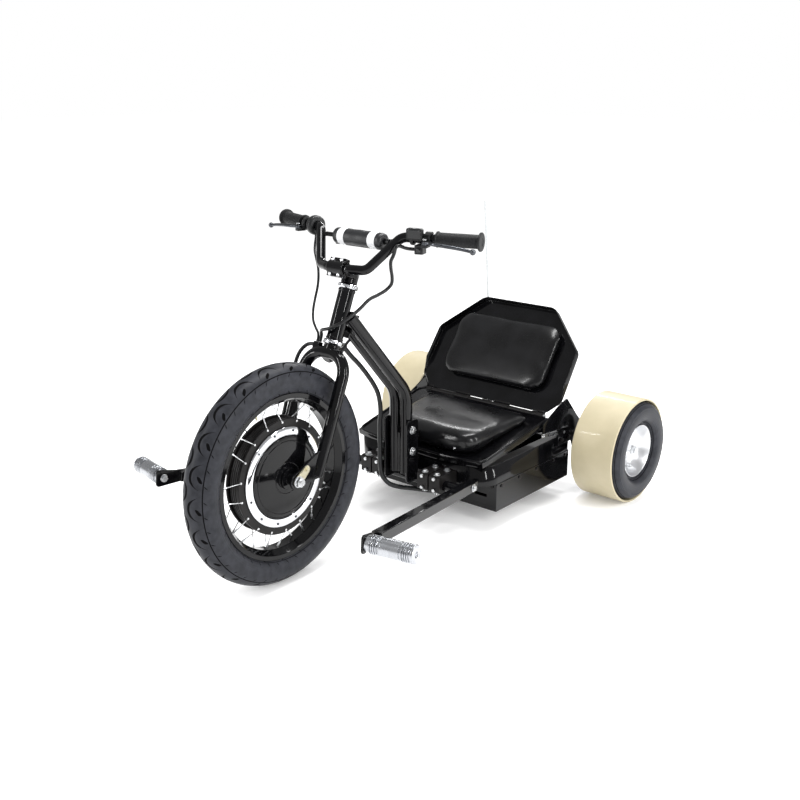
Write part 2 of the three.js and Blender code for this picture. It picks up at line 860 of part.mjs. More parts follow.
function hubRing() {
  const face = hubRingX + ringThickness;
  const middle = (hubCoverRadius + hubCoverLip + ringRadius) / 2;
  const bolts = Array.from({ length: ringBoltCount }, (_, k) => {
    const turn = (2 * Math.PI * k) / ringBoltCount;
    const [y, z] = [middle * Math.sin(turn), middle * Math.cos(turn)];
    const root = [hubRingX + ringThickness / 2, y, z];
    return rod(root, [face + ringBoltHeight, y, z], ringBoltRadius, ringBoltSides);
  });
  return join(turned(hubRingOutline, hubSides), ...bolts);
}

// The drum with the cover of its right side.
function hubShell() {
  const inner = statorHalfWidth + 2 * clearance;
  return turned([
    [-drumHalfWidth, drumRadius - drumWall], [-drumHalfWidth, drumRadius], [drumHalfWidth, drumRadius],
    ...hubCoverOutline.slice(1), [inner, frontAxleRadius + 2 * clearance], [inner, drumRadius - drumWall],
  ], hubSides).rotateY(Math.PI);
}
part("hub_shell", hubShell(), satinBlackPaint(), frontWheel);
part("hub_ring", hubRing(), castAluminium(), frontWheel);
part("hub_cover", turned(hubCoverOutline, hubSides), blackPaint(), frontWheel);

const rearTyre = tyreOutline({
  halfWidth: rearTyreHalfWidth,
  radius: rearTyreRadius,
  rise: rearTyreRise,
  wall: rearTyreWall,
  beadHalfWidth: rearBeadHalfWidth,
  beadRadius: rearBeadRadius,
  beadHeight: rearBeadHeight,
  sweepDegrees: rearTyreSweepDegrees,
  steps: rearTyreSteps,
  squareness: rearTyreSquareness,
});
const sleeve = mirrorOutline([
  [sleeveHalfWidth, sleeveRadius], [sleeveHalfWidth, rearWheelRadius - sleeveChamfer],
  [sleeveHalfWidth - sleeveChamfer, rearWheelRadius],
]);
const rearRimBore = rearAxleRadius + 2 * clearance;
const rearRim = [
  [-rearHubInner, rearRimBore], [-rearHubInner, rearHubRadius],
  [rearRimWebFace - rearRimWebThickness, rearHubRadius],
  [rearRimWebFace - rearRimWebThickness, rearRimBarrelRadius - rearRimWall],
  [-rearRimHalfWidth, rearRimBarrelRadius - rearRimWall], [-rearRimHalfWidth - rearRimWall, rearRimLipRadius],
  [-rearRimHalfWidth, rearRimLipRadius], [-rearRimHalfWidth + rearRimWall, rearRimBarrelRadius],
  [rearRimHalfWidth - rearRimWall, rearRimBarrelRadius], [rearRimHalfWidth, rearRimLipRadius],
  [rearRimHalfWidth + rearRimWall, rearRimLipRadius], [rearRimHalfWidth, rearRimBarrelRadius - rearRimWall],
  [rearRimWebFace, rearRimBarrelRadius - rearRimWall], [rearRimWebFace, rearHubRadius],
  [rearHubOuter, rearHubRadius - rearRimWall], [rearHubOuter, rearRimBore],
];
for (const [name, side] of sides) {
  const wheel = new THREE.Group();
  wheel.position.set(side * rearWheelX, rearAxleY, rearWheelRadius);
  trike.add(wheel);
  part(`rear_tyre_${name}`, turned(rearTyre, rearWheelSides), tyreRubber(), wheel);
  part(`rear_sleeve_${name}`, turned(sleeve, rearWheelSides), sleevePlastic(), wheel);
  part(`rear_rim_${name}`, onSide(turned(rearRim, rearWheelSides), side), castAluminium(), wheel);
}

// Steering

// The front axle with the motor's stator keyed to it and a nut at each end.
function frontAxle() {
  const end = axleNutX + frontAxleNutLength + frontAxleEnd;
  const pieces = [
    turned([[-end, 0], [-end, frontAxleRadius], [end, frontAxleRadius], [end, 0]], legSides),
    turned([[-statorHalfWidth, 0], [-statorHalfWidth, statorRadius], [statorHalfWidth, statorRadius],
      [statorHalfWidth, 0]], hubSides),
    rod([axleNutX, 0, 0], [axleNutX + frontAxleNutLength, 0, 0], frontAxleNutRadius, hexSides),
    rod([-axleNutX, 0, 0], [-axleNutX - frontAxleNutLength, 0, 0], frontAxleNutRadius, hexSides),
  ];
  return join(...pieces).translate(0, -forkOffset, -forkLength);
}
part("front_axle", frontAxle(), zincSteel(), steering);

function dropout() {
  const inner = [dropoutX, -forkOffset, -forkLength];
  const outer = [dropoutX + dropoutThickness, -forkOffset, -forkLength];
  const hub = rod(inner, outer, dropoutRadius, legSides);
  const web = sidePlate([
    [-legSetForward + legRadius / 2, -legLength + dropoutHeight],
    [-legSetForward - legRadius, -legLength + dropoutHeight],
    [-forkOffset - dropoutRadius / 2, -forkLength + dropoutRadius * dropoutFrontShare],
    [-forkOffset, -forkLength - dropoutRadius * dropoutBottomShare],
    [-legSetForward + legRadius / 2, -legLength],
  ], dropoutX, dropoutX + dropoutThickness);
  return join(hub, web);
}

// The fork, with a guide on its right shoulder where the cables meet.
function fork() {
  const crownTop = -headsetHeight / 2 - clearance;
  const path = rounded([
    [0, -legSetForward, -crownHeight], [legHalfSpread, -legSetForward, -crownHeight],
    [legHalfSpread, -legSetForward, -legLength],
  ], legArchRadius, cornerSteps);
  const leg = join(sweep(path, legRadius, legSides), dropout());
  const crown = rod([0, 0, crownTop], [0, 0, crownTop - crownHeight], crownRadius, steererSides);
  const steererFoot = [0, 0, crownTop - crownHeight];
  const steerer = rod(steererFoot, [0, 0, stemTop - stemCapHeight], steererRadius, steererSides);
  const reach = legHalfSpread + legRadius;
  const bore = hole([-reach, -forkOffset, -forkLength], [reach, -forkOffset, -forkLength],
    frontAxleRadius + 2 * clearance, legSides);
  const guide = block(-guideEnd, -guideStart, -guideSetForward - guideHalfDepth,
    guideHalfDepth - guideSetForward, -guideTop - guideHeight, -guideTop);
  return cut(join(leg, mirrored(leg), crown, steerer, guide), bore);
}
const stemBottom = headsetSpacing + headsetHeight / 2 + clearance;
const stemTop = stemBottom + stemHeight;
part("fork", fork(), blackPaint(), steering);

function torqueArm() {
  const x0 = dropoutX + dropoutThickness + clearance;
  const x1 = x0 + torqueArmThickness;
  const turn = torqueArmAngleDegrees * degree;
  const [tipY, tipZ] = [torqueArmReach * Math.sin(turn), torqueArmReach * Math.cos(turn)];
  const [sideY, sideZ] = [torqueArmTipRadius * Math.cos(turn), torqueArmTipRadius * Math.sin(turn)];
  const arm = join(
    rod([x0, 0, 0], [x1, 0, 0], torqueArmRadius, gripSides),
    rod([x0, tipY, tipZ], [x1, tipY, tipZ], torqueArmTipRadius, gripSides),
    sidePlate([
      [-sideY, sideZ], [sideY, -sideZ], [tipY + sideY, tipZ - sideZ], [tipY - sideY, tipZ + sideZ],
    ], x0, x1),
  );
  const holes = [
    hole([x0 - overrun, 0, 0], [x1 + overrun, 0, 0], frontAxleRadius + 2 * clearance, legSides),
    hole([x0 - overrun, tipY, tipZ], [x1 + overrun, tipY, tipZ], torqueArmSlotRadius, legSides),
  ];
  return cut(arm, ...holes).translate(0, -forkOffset, -forkLength);
}
part("torque_arm", torqueArm(), zincSteel(), steering);

function headsetRing() {
  const half = headsetHeight / 2;
  const bore = steererRadius + 2 * clearance;
  const rim = headsetRadius - headsetChamfer;
  return turnedUpright([
    [bore, -half], [rim, -half], [headsetRadius, headsetChamfer - half],
    [headsetRadius, half - headsetChamfer], [rim, half], [bore, half],
  ], steererSides);
}
for (const [name, height] of [["lower", 0], ["upper", headsetSpacing]]) {
  part(`headset_${name}`, headsetRing().translate(0, 0, height), chromeSteel(), steering);
}

const clampAxis = (x) => [x, -stemReach, stemRise];
const clampHalf = () => rod(clampAxis(-clampHalfWidth), clampAxis(clampHalfWidth), clampRadius, gripSides);
const barSpace = () => hole(clampAxis(-stemReach), clampAxis(stemReach), barRadius + clearance, gripSides);

function stem() {
  const bodyTop = stemRise + stemBodyHeight / 2;
  const body = block(-stemBodyHalfWidth, stemBodyHalfWidth, -stemReach + barRadius / 2, 0,
    bodyTop - stemBodyHeight, bodyTop);
  const ears = block(-clampHalfWidth, clampHalfWidth, -stemReach, -stemReach + faceplateThickness,
    stemRise - faceplateFlange, stemRise + faceplateFlange);
  const sleeveBody = rod([0, 0, stemBottom], [0, 0, stemTop], stemRadius, gripSides);
  const bore = hole([0, 0, stemBottom - overrun], [0, 0, stemTop - stemCapHeight + clearance],
    steererRadius + clearance, steererSides);
  const front = block(-stemReach, stemReach, -2 * stemReach, -stemReach + clearance / 2,
    stemRise - stemReach, stemRise + stemReach);
  return cut(join(body, ears, sleeveBody, clampHalf()), bore, barSpace(), front);
}
part("stem", stem(), blackPaint(), steering);

function stemFaceplate() {
  const flange = block(-clampHalfWidth, clampHalfWidth, -stemReach - faceplateThickness, -stemReach,
    stemRise - faceplateFlange, stemRise + faceplateFlange);
  const back = block(-stemReach, stemReach, -stemReach - clearance / 2, 0,
    stemRise - stemReach, stemRise + stemReach);
  const bolts = [-1, 1].flatMap((across) => [-1, 1].map((up) => {
    const [x, z] = [across * clampBoltSpacing / 2, stemRise + up * (faceplateFlange - clampBoltRadius)];
    return rod([x, -stemReach - faceplateThickness / 2, z],
      [x, -stemReach - faceplateThickness - clampBoltHead, z], clampBoltRadius, legSides);
  }));
  return join(cut(join(flange, clampHalf()), barSpace(), back), ...bolts);
}
part("stem_faceplate", stemFaceplate(), blackPaint(), steering);

// The grip's own frame: X outwards along it on the left, Y backwards and Z up. The right one is its mirror image,
// with X still to the left, so that mirrored pieces fit it.
const gripAlong = new THREE.Vector3(...barEnd).sub(new THREE.Vector3(...barUpperBend));
const gripLength = gripAlong.length();
gripAlong.normalize();
const plumb = new THREE.Vector3(0, -Math.sin(headTilt), Math.cos(headTilt));
const gripUp = plumb.clone().addScaledVector(gripAlong, -plumb.dot(gripAlong)).normalize();
const gripBack = gripUp.clone().cross(gripAlong);

function controlGroup(side) {
  const flip = new THREE.Vector3(side, 1, 1);
  const along = gripAlong.clone().multiply(flip).multiplyScalar(side);
  const [back, up] = [gripBack, gripUp].map((axis) => axis.clone().multiply(flip));
  const frame = new THREE.Matrix4().makeBasis(along, back, up);
  const group = new THREE.Group();
  group.quaternion.setFromRotationMatrix(frame);
  group.position.set(side * barUpperBend[0], barUpperBend[1], barUpperBend[2]);
  steering.add(group);
  return group;
}
const controls = { left: controlGroup(1), right: controlGroup(-1) };

const crossbarShare = crossbarDrop / (barUpperBend[2] - barLowerBend[2]);
const crossbarEnd = barUpperBend.map((value, axis) => value + (barLowerBend[axis] - value) * crossbarShare);

function handlebar() {
  const flip = ([x, y, z]) => [-x, y, z];
  const tip = gripLength - gripEndThickness - clearance;
  const end = new THREE.Vector3(...barUpperBend).addScaledVector(gripAlong, tip).toArray();
  const half = [[barClampHalfWidth, -stemReach, stemRise], barLowerBend, barUpperBend, end];
  const path = rounded([...half.toReversed().map(flip), ...half], barBendRadius, cornerSteps - 1);
  const crossbar = rod(flip(crossbarEnd), crossbarEnd, crossbarRadius, barSides);
  return join(sweep(path, barRadius, barSides), crossbar);
}
part("handlebar", handlebar(), blackPaint(), steering);

const crossbarPad = mirrorOutline([
  [padHalfLength, crossbarRadius + clearance], [padHalfLength, padRadius - padEdge],
  [padHalfLength - padEdge, padRadius],
]);
const padPlace = [padShift, ...crossbarEnd.slice(1)];
part("crossbar_pad", turned(crossbarPad, gripSides).translate(...padPlace), foam(), steering);

function grip() {
  const bore = barRadius + clearance;
  const tip = gripLength;
  return turned([
    [gripStart, bore], [gripStart, gripFlangeRadius], [gripStart + gripFlangeThickness, gripFlangeRadius],
    [gripStart + gripFlangeThickness, gripRadius], [tip - gripEndThickness, gripRadius],
    [tip - gripEndThickness, gripEndRadius], [tip, gripEndRadius], [tip, 0],
    [tip - gripEndThickness + clearance, 0], [tip - gripEndThickness + clearance, bore],
  ], gripSides);
}
part("left_grip", grip(), gripRubber(), controls.left);
part("twist_grip", mirrored(grip()), gripRubber(), controls.right);

function throttleHousing() {
  const bore = barRadius + clearance;
  const end = throttleStart + throttleLength;
  return turned([
    [throttleStart, bore], [throttleStart, throttleNeckRadius], [throttleStart + padEdge, throttleRadius],
    [end - padEdge, throttleRadius], [end, throttleNeckRadius], [end, bore],
  ], gripSides);
}
part("throttle_housing", mirrored(throttleHousing()), blackPlastic(), controls.right);

// A clamp ring on the bar with a shelf forwards, and the lever's pivot pin standing on the shelf.
function leverPerch() {
  const bore = barRadius + clearance;
  const end = perchStart + perchLength;
  const outline = [[perchStart, bore], [perchStart, perchRadius], [end, perchRadius], [end, bore]];
  const ring = turned(outline, gripSides);
  const shelf = block(perchStart, end, -perchReach, -bore, -perchRadius, -perchRadius + perchThickness);
  const [x, y] = [(perchStart + end) / 2, -leverPivotForward];
  const pin = rod([x, y, -perchRadius + perchThickness / 2], [x, y, leverPivotDrop + leverPivotRadius],
    leverPivotRadius, legSides);
  return join(ring, shelf, pin);
}

// The lever lies on the shelf: a hub round the pin, an elbow forwards and a blade along the grip.
function brakeLever() {
  const bottom = -perchRadius + perchThickness + clearance;
  const pivotX = perchStart + perchLength / 2;
  const middle = bottom + leverThickness / 2;
  const along = (x, forward, drop) => {
    return new THREE.Vector3(pivotX + x, -leverPivotForward - forward, middle - drop);
  };
  const hub = rod([pivotX, -leverPivotForward, bottom], [pivotX, -leverPivotForward, bottom + leverThickness],
    leverHubRadius, legSides);
  const blade = sweep([
    along(leverPivotRadius * 2, 0, 0), along(leverElbow, leverElbowForward, 0),
    along((leverElbow + leverLength) / 2, (leverElbowForward + leverTipForward) / 2, leverTipDrop / 3),
    along(leverLength, leverTipForward, leverTipDrop),
  ], leverThickness / 2, hexSides);
  const [tipStart, tipEnd] = [-1, 1].map((way) => {
    return along(leverLength + way * leverThickness / 2, leverTipForward, leverTipDrop).toArray();
  });
  const tip = rod(tipStart, tipEnd, leverThickness, legSides);
  const bore = hole([pivotX, -leverPivotForward, bottom - overrun],
    [pivotX, -leverPivotForward, bottom + leverThickness + overrun], leverPivotRadius + clearance, legSides);
  return cut(join(hub, blade, tip), bore);
}
for (const [name, side] of sides) {
  part(`${name}_lever_perch`, onSide(leverPerch(), side), blackPlastic(), controls[name]);
  part(`${name}_brake_lever`, onSide(brakeLever(), side), castAluminium(), controls[name]);
}

function display() {
  const bore = barRadius + clearance;
  const end = displayStart + displayWidth;
  const middle = displayStart + displayFoot;
  const front = -bore - displayFoot / 2;
  const ring = turned([
    [middle - displayFoot / 2, bore], [middle - displayFoot / 2, perchRadius],
    [middle + displayFoot / 2, perchRadius], [middle + displayFoot / 2, bore],
  ], gripSides);
  const face = roundedRectangle(displayStart, end, displayRise - displayHeight / 2,
    displayRise + displayHeight / 2, padEdge);
  const box = plate(face, 0, displayDepth).rotateX(Math.PI / 2).translate(0, front + displayDepth / 4, 0);
  return cut(join(ring, box), hole([0, 0, 0], [gripLength, 0, 0], bore, gripSides));
}
part("display", display(), blackPlastic(), controls.left);

function switchCluster() {
  const bore = barRadius + clearance;
  const end = switchStart + switchWidth;
  const bottom = -switchCollar - switchDrop;
  const box = block(switchStart, end, -switchDepth / 2, switchDepth / 2, bottom, -bore - sheet);
  const button = rod([(switchStart + end) / 2, -switchDepth / 2, -switchCollar - switchDrop / 2],
    [(switchStart + end) / 2, -switchDepth / 2 - padEdge, -switchCollar - switchDrop / 2], padEdge, legSides);
  const strap = block(switchStart + padEdge, end - padEdge, -switchCollar / 2, switchCollar / 2,
    -switchCollar - sheet, -bore);
  return join(box, strap, button);
}
part("switch_cluster", switchCluster(), blackPlastic(), controls.left);

// Frame

const headPoint = (along) => [0, headY + along * Math.sin(headTilt), headZ + along * Math.cos(headTilt)];

function neckTubes() {
  const [, topY, topZ] = headPoint(neckJoint);
  const corner = [neckTubeX, neckY, neckBottom + neckBendRise];
  const slope = new THREE.Vector3(0, topY - corner[1], topZ - corner[2]);
  slope.setLength(neckJointInset);
  const start = [neckTubeX, topY - slope.y, topZ - slope.z];
  const path = rounded([start, corner, [neckTubeX, neckY, neckBottom]], neckBendRadius, cornerSteps - 1);
  const tube = sweep(path, neckTubeRadius, neckTubeSides);
  return join(tube, mirrored(tube));
}

// A disc that the harness starts from, on a strut from the neck.
function harnessClip() {
  const [first, second, strutEnd] = carried([...harnessRoute.slice(0, 2), harnessClipStrutEnd], neckBottom);
  const start = new THREE.Vector3(...first);
  const along = start.clone().sub(new THREE.Vector3(...second)).normalize();
  const face = start.clone().addScaledVector(along, clearance).toArray();
  const back = start.clone().addScaledVector(along, clearance + harnessClipThickness).toArray();
  const foot = start.clone().addScaledVector(along, clearance + harnessClipThickness * 3 / 2).toArray();
  const strut = rod(foot, strutEnd, harnessClipStrutRadius, hexSides);
  return join(rod(face, back, harnessClipRadius, legSides), strut);
}

function neckFrame() {
  const bottom = headsetHeight / 2 + clearance;
  const top = headsetSpacing - headsetHeight / 2 - clearance;
  const head = rod(headPoint(bottom), headPoint(top), headTubeRadius, steererSides);
  const bore = hole(headPoint(bottom - overrun), headPoint(top + overrun), headTubeBoreRadius, steererSides);
  const across = neckTubeX + neckTubeRadius + overrun;
  const web = block(-neckTubeX, neckTubeX, neckY - neckTubeRadius / 2, neckY + neckTubeRadius / 2,
    neckBottom, neckBottom + neckBendRise / 2);
  const holes = neckBoltHeights.map((z) => hole([-across, neckY, z], [across, neckY, z],
    neckBoltRadius + clearance, neckTubeSides));
  return cut(join(head, neckTubes(), web, harnessClip()), bore, ...holes);
}
part("neck_frame", neckFrame(), blackPaint());

const armReach = (side) => armLength + (side > 0 ? 0 : armExtension);
const armPitch = armPitchDegrees * degree;
const armSpread = armLength * Math.cos(armPitch) * Math.sin(armSplayDegrees * degree);

// The arm's own frame: it runs forwards along -Y, pitched up and splayed outwards.
function placeOnArm(mesh, side) {
  const splay = Math.asin(armSpread / armReach(side) / Math.cos(armPitch));
  mesh.rotation.order = "ZYX";
  mesh.rotation.set(-armPitch, 0, side * splay);
  mesh.position.set(side * armInnerX, armInnerY, armInnerZ);
  return mesh;
}

// The lug that carries an arm: a plate against the arm's inner face with a bolt through it.
function armLug() {
  const inner = -armSize / 2 - clearance;
  const lug = block(inner - armLugThickness, inner, -armLugLength / 2, armLugLength / 2,
    -armLugDrop, armSize / 2);
  const boltEnd = [armSize / 2 + pegBoltHead, 0, 0];
  const bolt = rod([inner - armLugThickness / 2, 0, 0], boltEnd, armBoltRadius, legSides);
  const head = rod([armSize / 2 + clearance, 0, 0], boltEnd, pegBoltRadius, hexSides);
  return join(lug, bolt, head);
}

function frontCrossTube() {
  const outline = rounded([
    [receiverFront, receiverBottom], [receiverBack, receiverBottom], [receiverBack, receiverTop],
    [receiverFront, receiverTop],
  ], receiverCorner, cornerSteps - 2, true);
  const cheek = sidePlate(outline, receiverX, receiverX + receiverThickness);
  const half = receiverX + receiverThickness + neckBoltHead;
  const bolts = neckBoltHeights.flatMap((z) => [
    rod([-half, neckY, z], [half, neckY, z], neckBoltRadius, neckTubeSides),
    rod([receiverX, neckY, z], [half, neckY, z], neckBoltHeadRadius, hexSides),
    rod([-receiverX, neckY, z], [-half, neckY, z], neckBoltHeadRadius, hexSides),
  ]);
  const lugs = sides.map(([, side]) => {
    const carrier = placeOnArm(new THREE.Object3D(), side);
    carrier.updateMatrix();
    return onSide(armLug(), side).applyMatrix4(carrier.matrix);
  });
  const tubeEnd = [crossTubeHalfLength, crossTubeY, crossTubeZ];
  const tube = rod([-crossTubeHalfLength, crossTubeY, crossTubeZ], tubeEnd, crossTubeRadius, crossTubeSides);
  return join(tube, cheek, mirrored(cheek), ...bolts, ...lugs);
}
part("front_cross_tube", frontCrossTube(), blackPaint());

function frameClamp(centre) {
  const [x0, x1] = [centre - clampBlockWidth / 2, centre + clampBlockWidth / 2];
  const back = tubFront - clearance;
  const body = sidePlate([
    [clampBlockFront + clampBlockChamfer, clampBlockBottom], [back, clampBlockBottom], [back, clampBlockTop],
    [clampBlockFront + clampBlockChamfer, clampBlockTop],
    [clampBlockFront, clampBlockTop - clampBlockChamfer],
    [clampBlockFront, clampBlockBottom + clampBlockChamfer],
  ], x0 + clearance, x1 - clearance);
  const bore = hole([x0, crossTubeY, crossTubeZ], [x1, crossTubeY, crossTubeZ],
    crossTubeRadius + clearance, crossTubeSides);
  const y = clampBlockFront + blockBoltSetback;
  const bolt = (from, to) => rod([centre, y, from], [centre, y, to], blockBoltRadius, hexSides);
  const bolts = [
    bolt(clampBlockTop - sheet, clampBlockTop + blockBoltHead),
    bolt(clampBlockBottom + sheet, clampBlockBottom - blockBoltHead),
  ];
  return join(cut(body, bore), ...bolts);
}
for (const [name, side] of sides) {
  clampBlockCentres.forEach((centre, i) => {
    part(`frame_clamp_${name}_${i + 1}`, frameClamp(side * centre), satinBlackPaint());
  });
}

function pegArm(reach) {
  const half = armSize / 2;
  const plateStart = -reach + armPlateLength;
  const tube = block(-half, half, plateStart - armPlateReach, half * 2, -half, half);
  const face = rounded([
    [-reach - armPlateReach, -armPlateHeight / 2], [plateStart, -half], [plateStart, half],
    [-reach - armPlateReach, armPlateHeight / 2],
  ], armPlateCorner, cornerSteps - 2, true);
  const tip = sidePlate(face, -armPlateThickness / 2, armPlateThickness / 2);
  const headEnd = [-armPlateThickness / 2 - pegBoltHead, -reach, 0];
  const head = rod([0, -reach, 0], headEnd, pegBoltRadius, hexSides);
  const lugHole = hole([-armSize, 0, 0], [armSize, 0, 0], armBoltRadius + clearance, legSides);
  return cut(join(tube, tip, head), lugHole);
}

function footPeg(reach) {
  const start = armPlateThickness / 2 + clearance;
  const band = pegLength / pegBands;
  const bands = Array.from({ length: pegBands }, (_, k) => {
    const x0 = start + k * band;
    const x1 = x0 + band;
    return [[x0, pegRadius - pegGroove], [x0 + pegGroove, pegRadius], [x1 - pegGroove, pegRadius],
      [x1, pegRadius - pegGroove]];
  }).flat();
  const outline = bands.filter(([x], i) => i === 0 || x !== bands[i - 1][0]);
  return turned([[start, 0], ...outline, [start + pegLength, 0]], pegSides).translate(0, -reach, 0);
}
for (const [name, side] of sides) {
  const reach = armReach(side);
  placeOnArm(part(`peg_arm_${name}`, onSide(pegArm(reach), side), blackPaint()), side);
  placeOnArm(part(`foot_peg_${name}`, onSide(footPeg(reach), side), castAluminium()), side);
}

// Base

function baseTub() {
  const outer = roundedRectangle(-tubHalfWidth, tubHalfWidth, tubFront, tubBack,
    [tubCorner, tubCorner, tubBackCorner, tubBackCorner]);
  const innerCorners = [tubCorner, tubCorner, tubBackCorner, tubBackCorner].map((radius) => radius - sheet);
  const inner = roundedRectangle(-tubHalfWidth + sheet, tubHalfWidth - sheet, tubFront + sheet,
    tubBack - sheet, innerCorners);
  return cut(plate(outer, tubBottom, tubTop), plate(inner, tubBottom + sheet, tubTop + overrun));
}
part("base_tub", baseTub(), blackPaint());

function baseFrame() {
  const gap = sheet + clearance;
  const corner = tubCorner - gap;
  const backCorner = tubBackCorner - gap;
  const [x, y0, y1] = [tubHalfWidth - gap, tubFront + gap, tubBack - gap];
  const outer = roundedRectangle(-x, x, y0, y1, [corner, corner, backCorner, backCorner]);
  const innerCorner = corner - frameTube;
  const inner = roundedRectangle(-x + frameTube, x - frameTube, y0 + frameTube, y1 - frameTube,
    [innerCorner, innerCorner, backCorner, backCorner]);
  const bottom = tubTop - frameTube;
  return cut(plate(outer, bottom, tubTop), plate(inner, bottom - overrun, tubTop + overrun));
}
part("base_frame", baseFrame(), satinBlackPaint());

function batteryBox() {
  const top = tubBottom - clearance;
  const body = block(-tubHalfWidth, tubHalfWidth, boxFront, tubBack, boxBottom, top);
  const space = block(-tubHalfWidth + sheet, tubHalfWidth - sheet, boxFront + sheet, tubBack - sheet,
    boxBottom + sheet, top + overrun);
  const slot = block(boxSlotStart, boxSlotEnd, boxFront - overrun, boxFront + overrun,
    boxSlotHeight - boxSlotRadius, boxSlotHeight + boxSlotRadius);
  const gland = hole([harnessHoleX, boxFront - overrun, harnessHoleZ],
    [harnessHoleX, boxFront + overrun, harnessHoleZ], harnessHoleRadius, legSides);
  return cut(body, space, slot, gland);
}
part("battery_box", batteryBox(), blackPaint());

function batteryPack() {
  const floor = boxBottom + sheet + clearance;
  const [halfWidth, halfLength] = [packWidth / 2, packHalfLength];
  const outline = roundedRectangle(packCentreX - halfWidth, packCentreX + halfWidth,
    packCentreY - halfLength, packCentreY + halfLength, packCorner);
  return plate(outline, floor, floor + packHeight);
}
part("battery_pack", batteryPack(), packWrap());

function motorController() {
  const floor = boxBottom + sheet + clearance;
  const [x0, x1] = [controllerX - controllerWidth / 2, controllerX + controllerWidth / 2];
  const [y0, y1] = [controllerY - controllerLength / 2, controllerY + controllerLength / 2];
  const top = floor + controllerHeight;
  const pitch = controllerWidth / (2 * controllerRibs - 1);
  const grooves = Array.from({ length: controllerRibs - 1 }, (_, k) => {
    const start = x0 + (2 * k + 1) * pitch;
    return block(start, start + pitch, y0 - overrun, y1 + overrun, top - controllerRibDepth, top + overrun);
  });
  return cut(block(x0, x1, y0, y1, floor, top), ...grooves);
}
part("motor_controller", motorController(), castAluminium());

function axleCarrier() {
  const axleSpace = hole([carrierX - linkWidth - overrun, rearAxleY, rearWheelRadius],
    [carrierX + carrierThickness + overrun, rearAxleY, rearWheelRadius],
    rearAxleRadius + 2 * clearance, rearAxleSides);
  const lowBack = rearAxleY + rearAxleRadius;
  const body = sidePlate([
    [carrierFront, carrierStep], [tubBack + overrun, carrierStep],
    [lowBack - carrierFootLength, carrierBottom],
    [lowBack, carrierBottom], [carrierBack, rearWheelRadius - rearAxleRadius],
    [carrierBack, rearWheelRadius + rearAxleRadius], [carrierSlopeY, carrierSlopeZ],
    [bracketBackY, carrierTop], [carrierFront + overrun, carrierShoulder],
  ], carrierX, carrierX + carrierThickness);
  const link = sidePlate([
    [linkFront, linkFrontZ - linkHeight], [bracketBackY, linkBackZ - linkHeight], [bracketBackY, linkBackZ],
    [linkFront, linkFrontZ],
  ], carrierX - linkWidth, carrierX + carrierThickness / 2);
  return cut(join(body, link), axleSpace);
}
for (const [name, side] of sides) {
  part(`axle_carrier_${name}`, onSide(axleCarrier(), side), blackPaint());
}

function rearAxle() {
  const hubStart = rearWheelX - rearHubInner - clearance;
  const nutStart = rearWheelX + rearHubOuter + clearance;
  const end = nutStart + rearAxleNutLength + rearAxleEnd;
  const collarStart = carrierX + carrierThickness + clearance;
  const outline = [
    [end, 0], [end, rearAxleRadius], [nutStart + rearAxleNutLength, rearAxleRadius],
    [nutStart + rearAxleNutLength, rearAxleNutRadius], [nutStart, rearAxleNutRadius],
    [nutStart, rearAxleRadius],
    [hubStart, rearAxleRadius], [hubStart, rearAxleCollarRadius], [collarStart, rearAxleCollarRadius],
    [collarStart, rearAxleRadius],
  ];
  return turned(mirrorOutline(outline), rearAxleSides).translate(0, rearAxleY, rearWheelRadius);
}
part("rear_axle", rearAxle(), zincSteel());

// Seat, in the tilted frame of its tray: Y along the slope from the front edge, Z square to it

const trayWidening = (trayBackHalfWidth - trayFrontHalfWidth) / trayLength;
const trayHalfWidthAt = (y) => trayFrontHalfWidth + trayWidening * y;
const trayBack = trayLength - hingeRadius - clearance;
const knuckleLength = (2 * hingeHalfLength) / knuckleCount;
const knuckleStart = (index) => -hingeHalfLength + index * knuckleLength + knuckleGap / 2;

function seatTray() {
  const radii = [trayCorner, trayCorner, trayCorner, trayCorner, trayCorner / 2, trayCorner / 2];
  const outline = (inset) => rounded([
    [-trayFrontHalfWidth + inset, inset], [-trayBowHalfWidth, inset - trayFrontBow],
    [trayBowHalfWidth, inset - trayFrontBow], [trayFrontHalfWidth - inset, inset],
    [trayHalfWidthAt(trayBack) - inset, trayBack - inset],
    [inset - trayHalfWidthAt(trayBack), trayBack - inset],
  ], radii, cornerSteps - 2, true);
  const pan = cut(plate(outline(0), -trayLip, 0), plate(outline(sheet), -trayLip - overrun, -sheet));
  const knuckles = Array.from({ length: (knuckleCount + 1) / 2 }, (_, k) => {
    const x0 = knuckleStart(2 * k);
    const x1 = x0 + knuckleLength - knuckleGap;
    const barrel = rod([x0, trayLength, -sheet], [x1, trayLength, -sheet], hingeRadius, knuckleSides);
    const leaf = block(x0, x1, trayBack - sheet, trayLength - hingePinRadius, -sheet, 0);
    return join(barrel, leaf);
  });
  const pin = rod([-hingeHalfLength, trayLength, -sheet], [hingeHalfLength, trayLength, -sheet],
    hingePinRadius, knuckleSides);
  return join(pan, ...knuckles, pin);
}
part("seat_tray", seatTray(), blackPaint(), seat);

const cushion = stuffedPad({
  x0: cushionOffset - cushionHalfWidth,
  x1: cushionOffset + cushionHalfWidth,
  y0: cushionFront,
  y1: cushionBack,
  corner: cushionCorner,
  height: cushionHeight,
  crown: cushionCrown,
  drawIn: cushionDrawIn,
  roll: cushionRoll,
  heightShare: cushionBackHeightShare,
  widthShare: cushionBackWidthShare,
});
part("seat_cushion", cushion.translate(0, 0, clearance), blackVinyl(), seat);

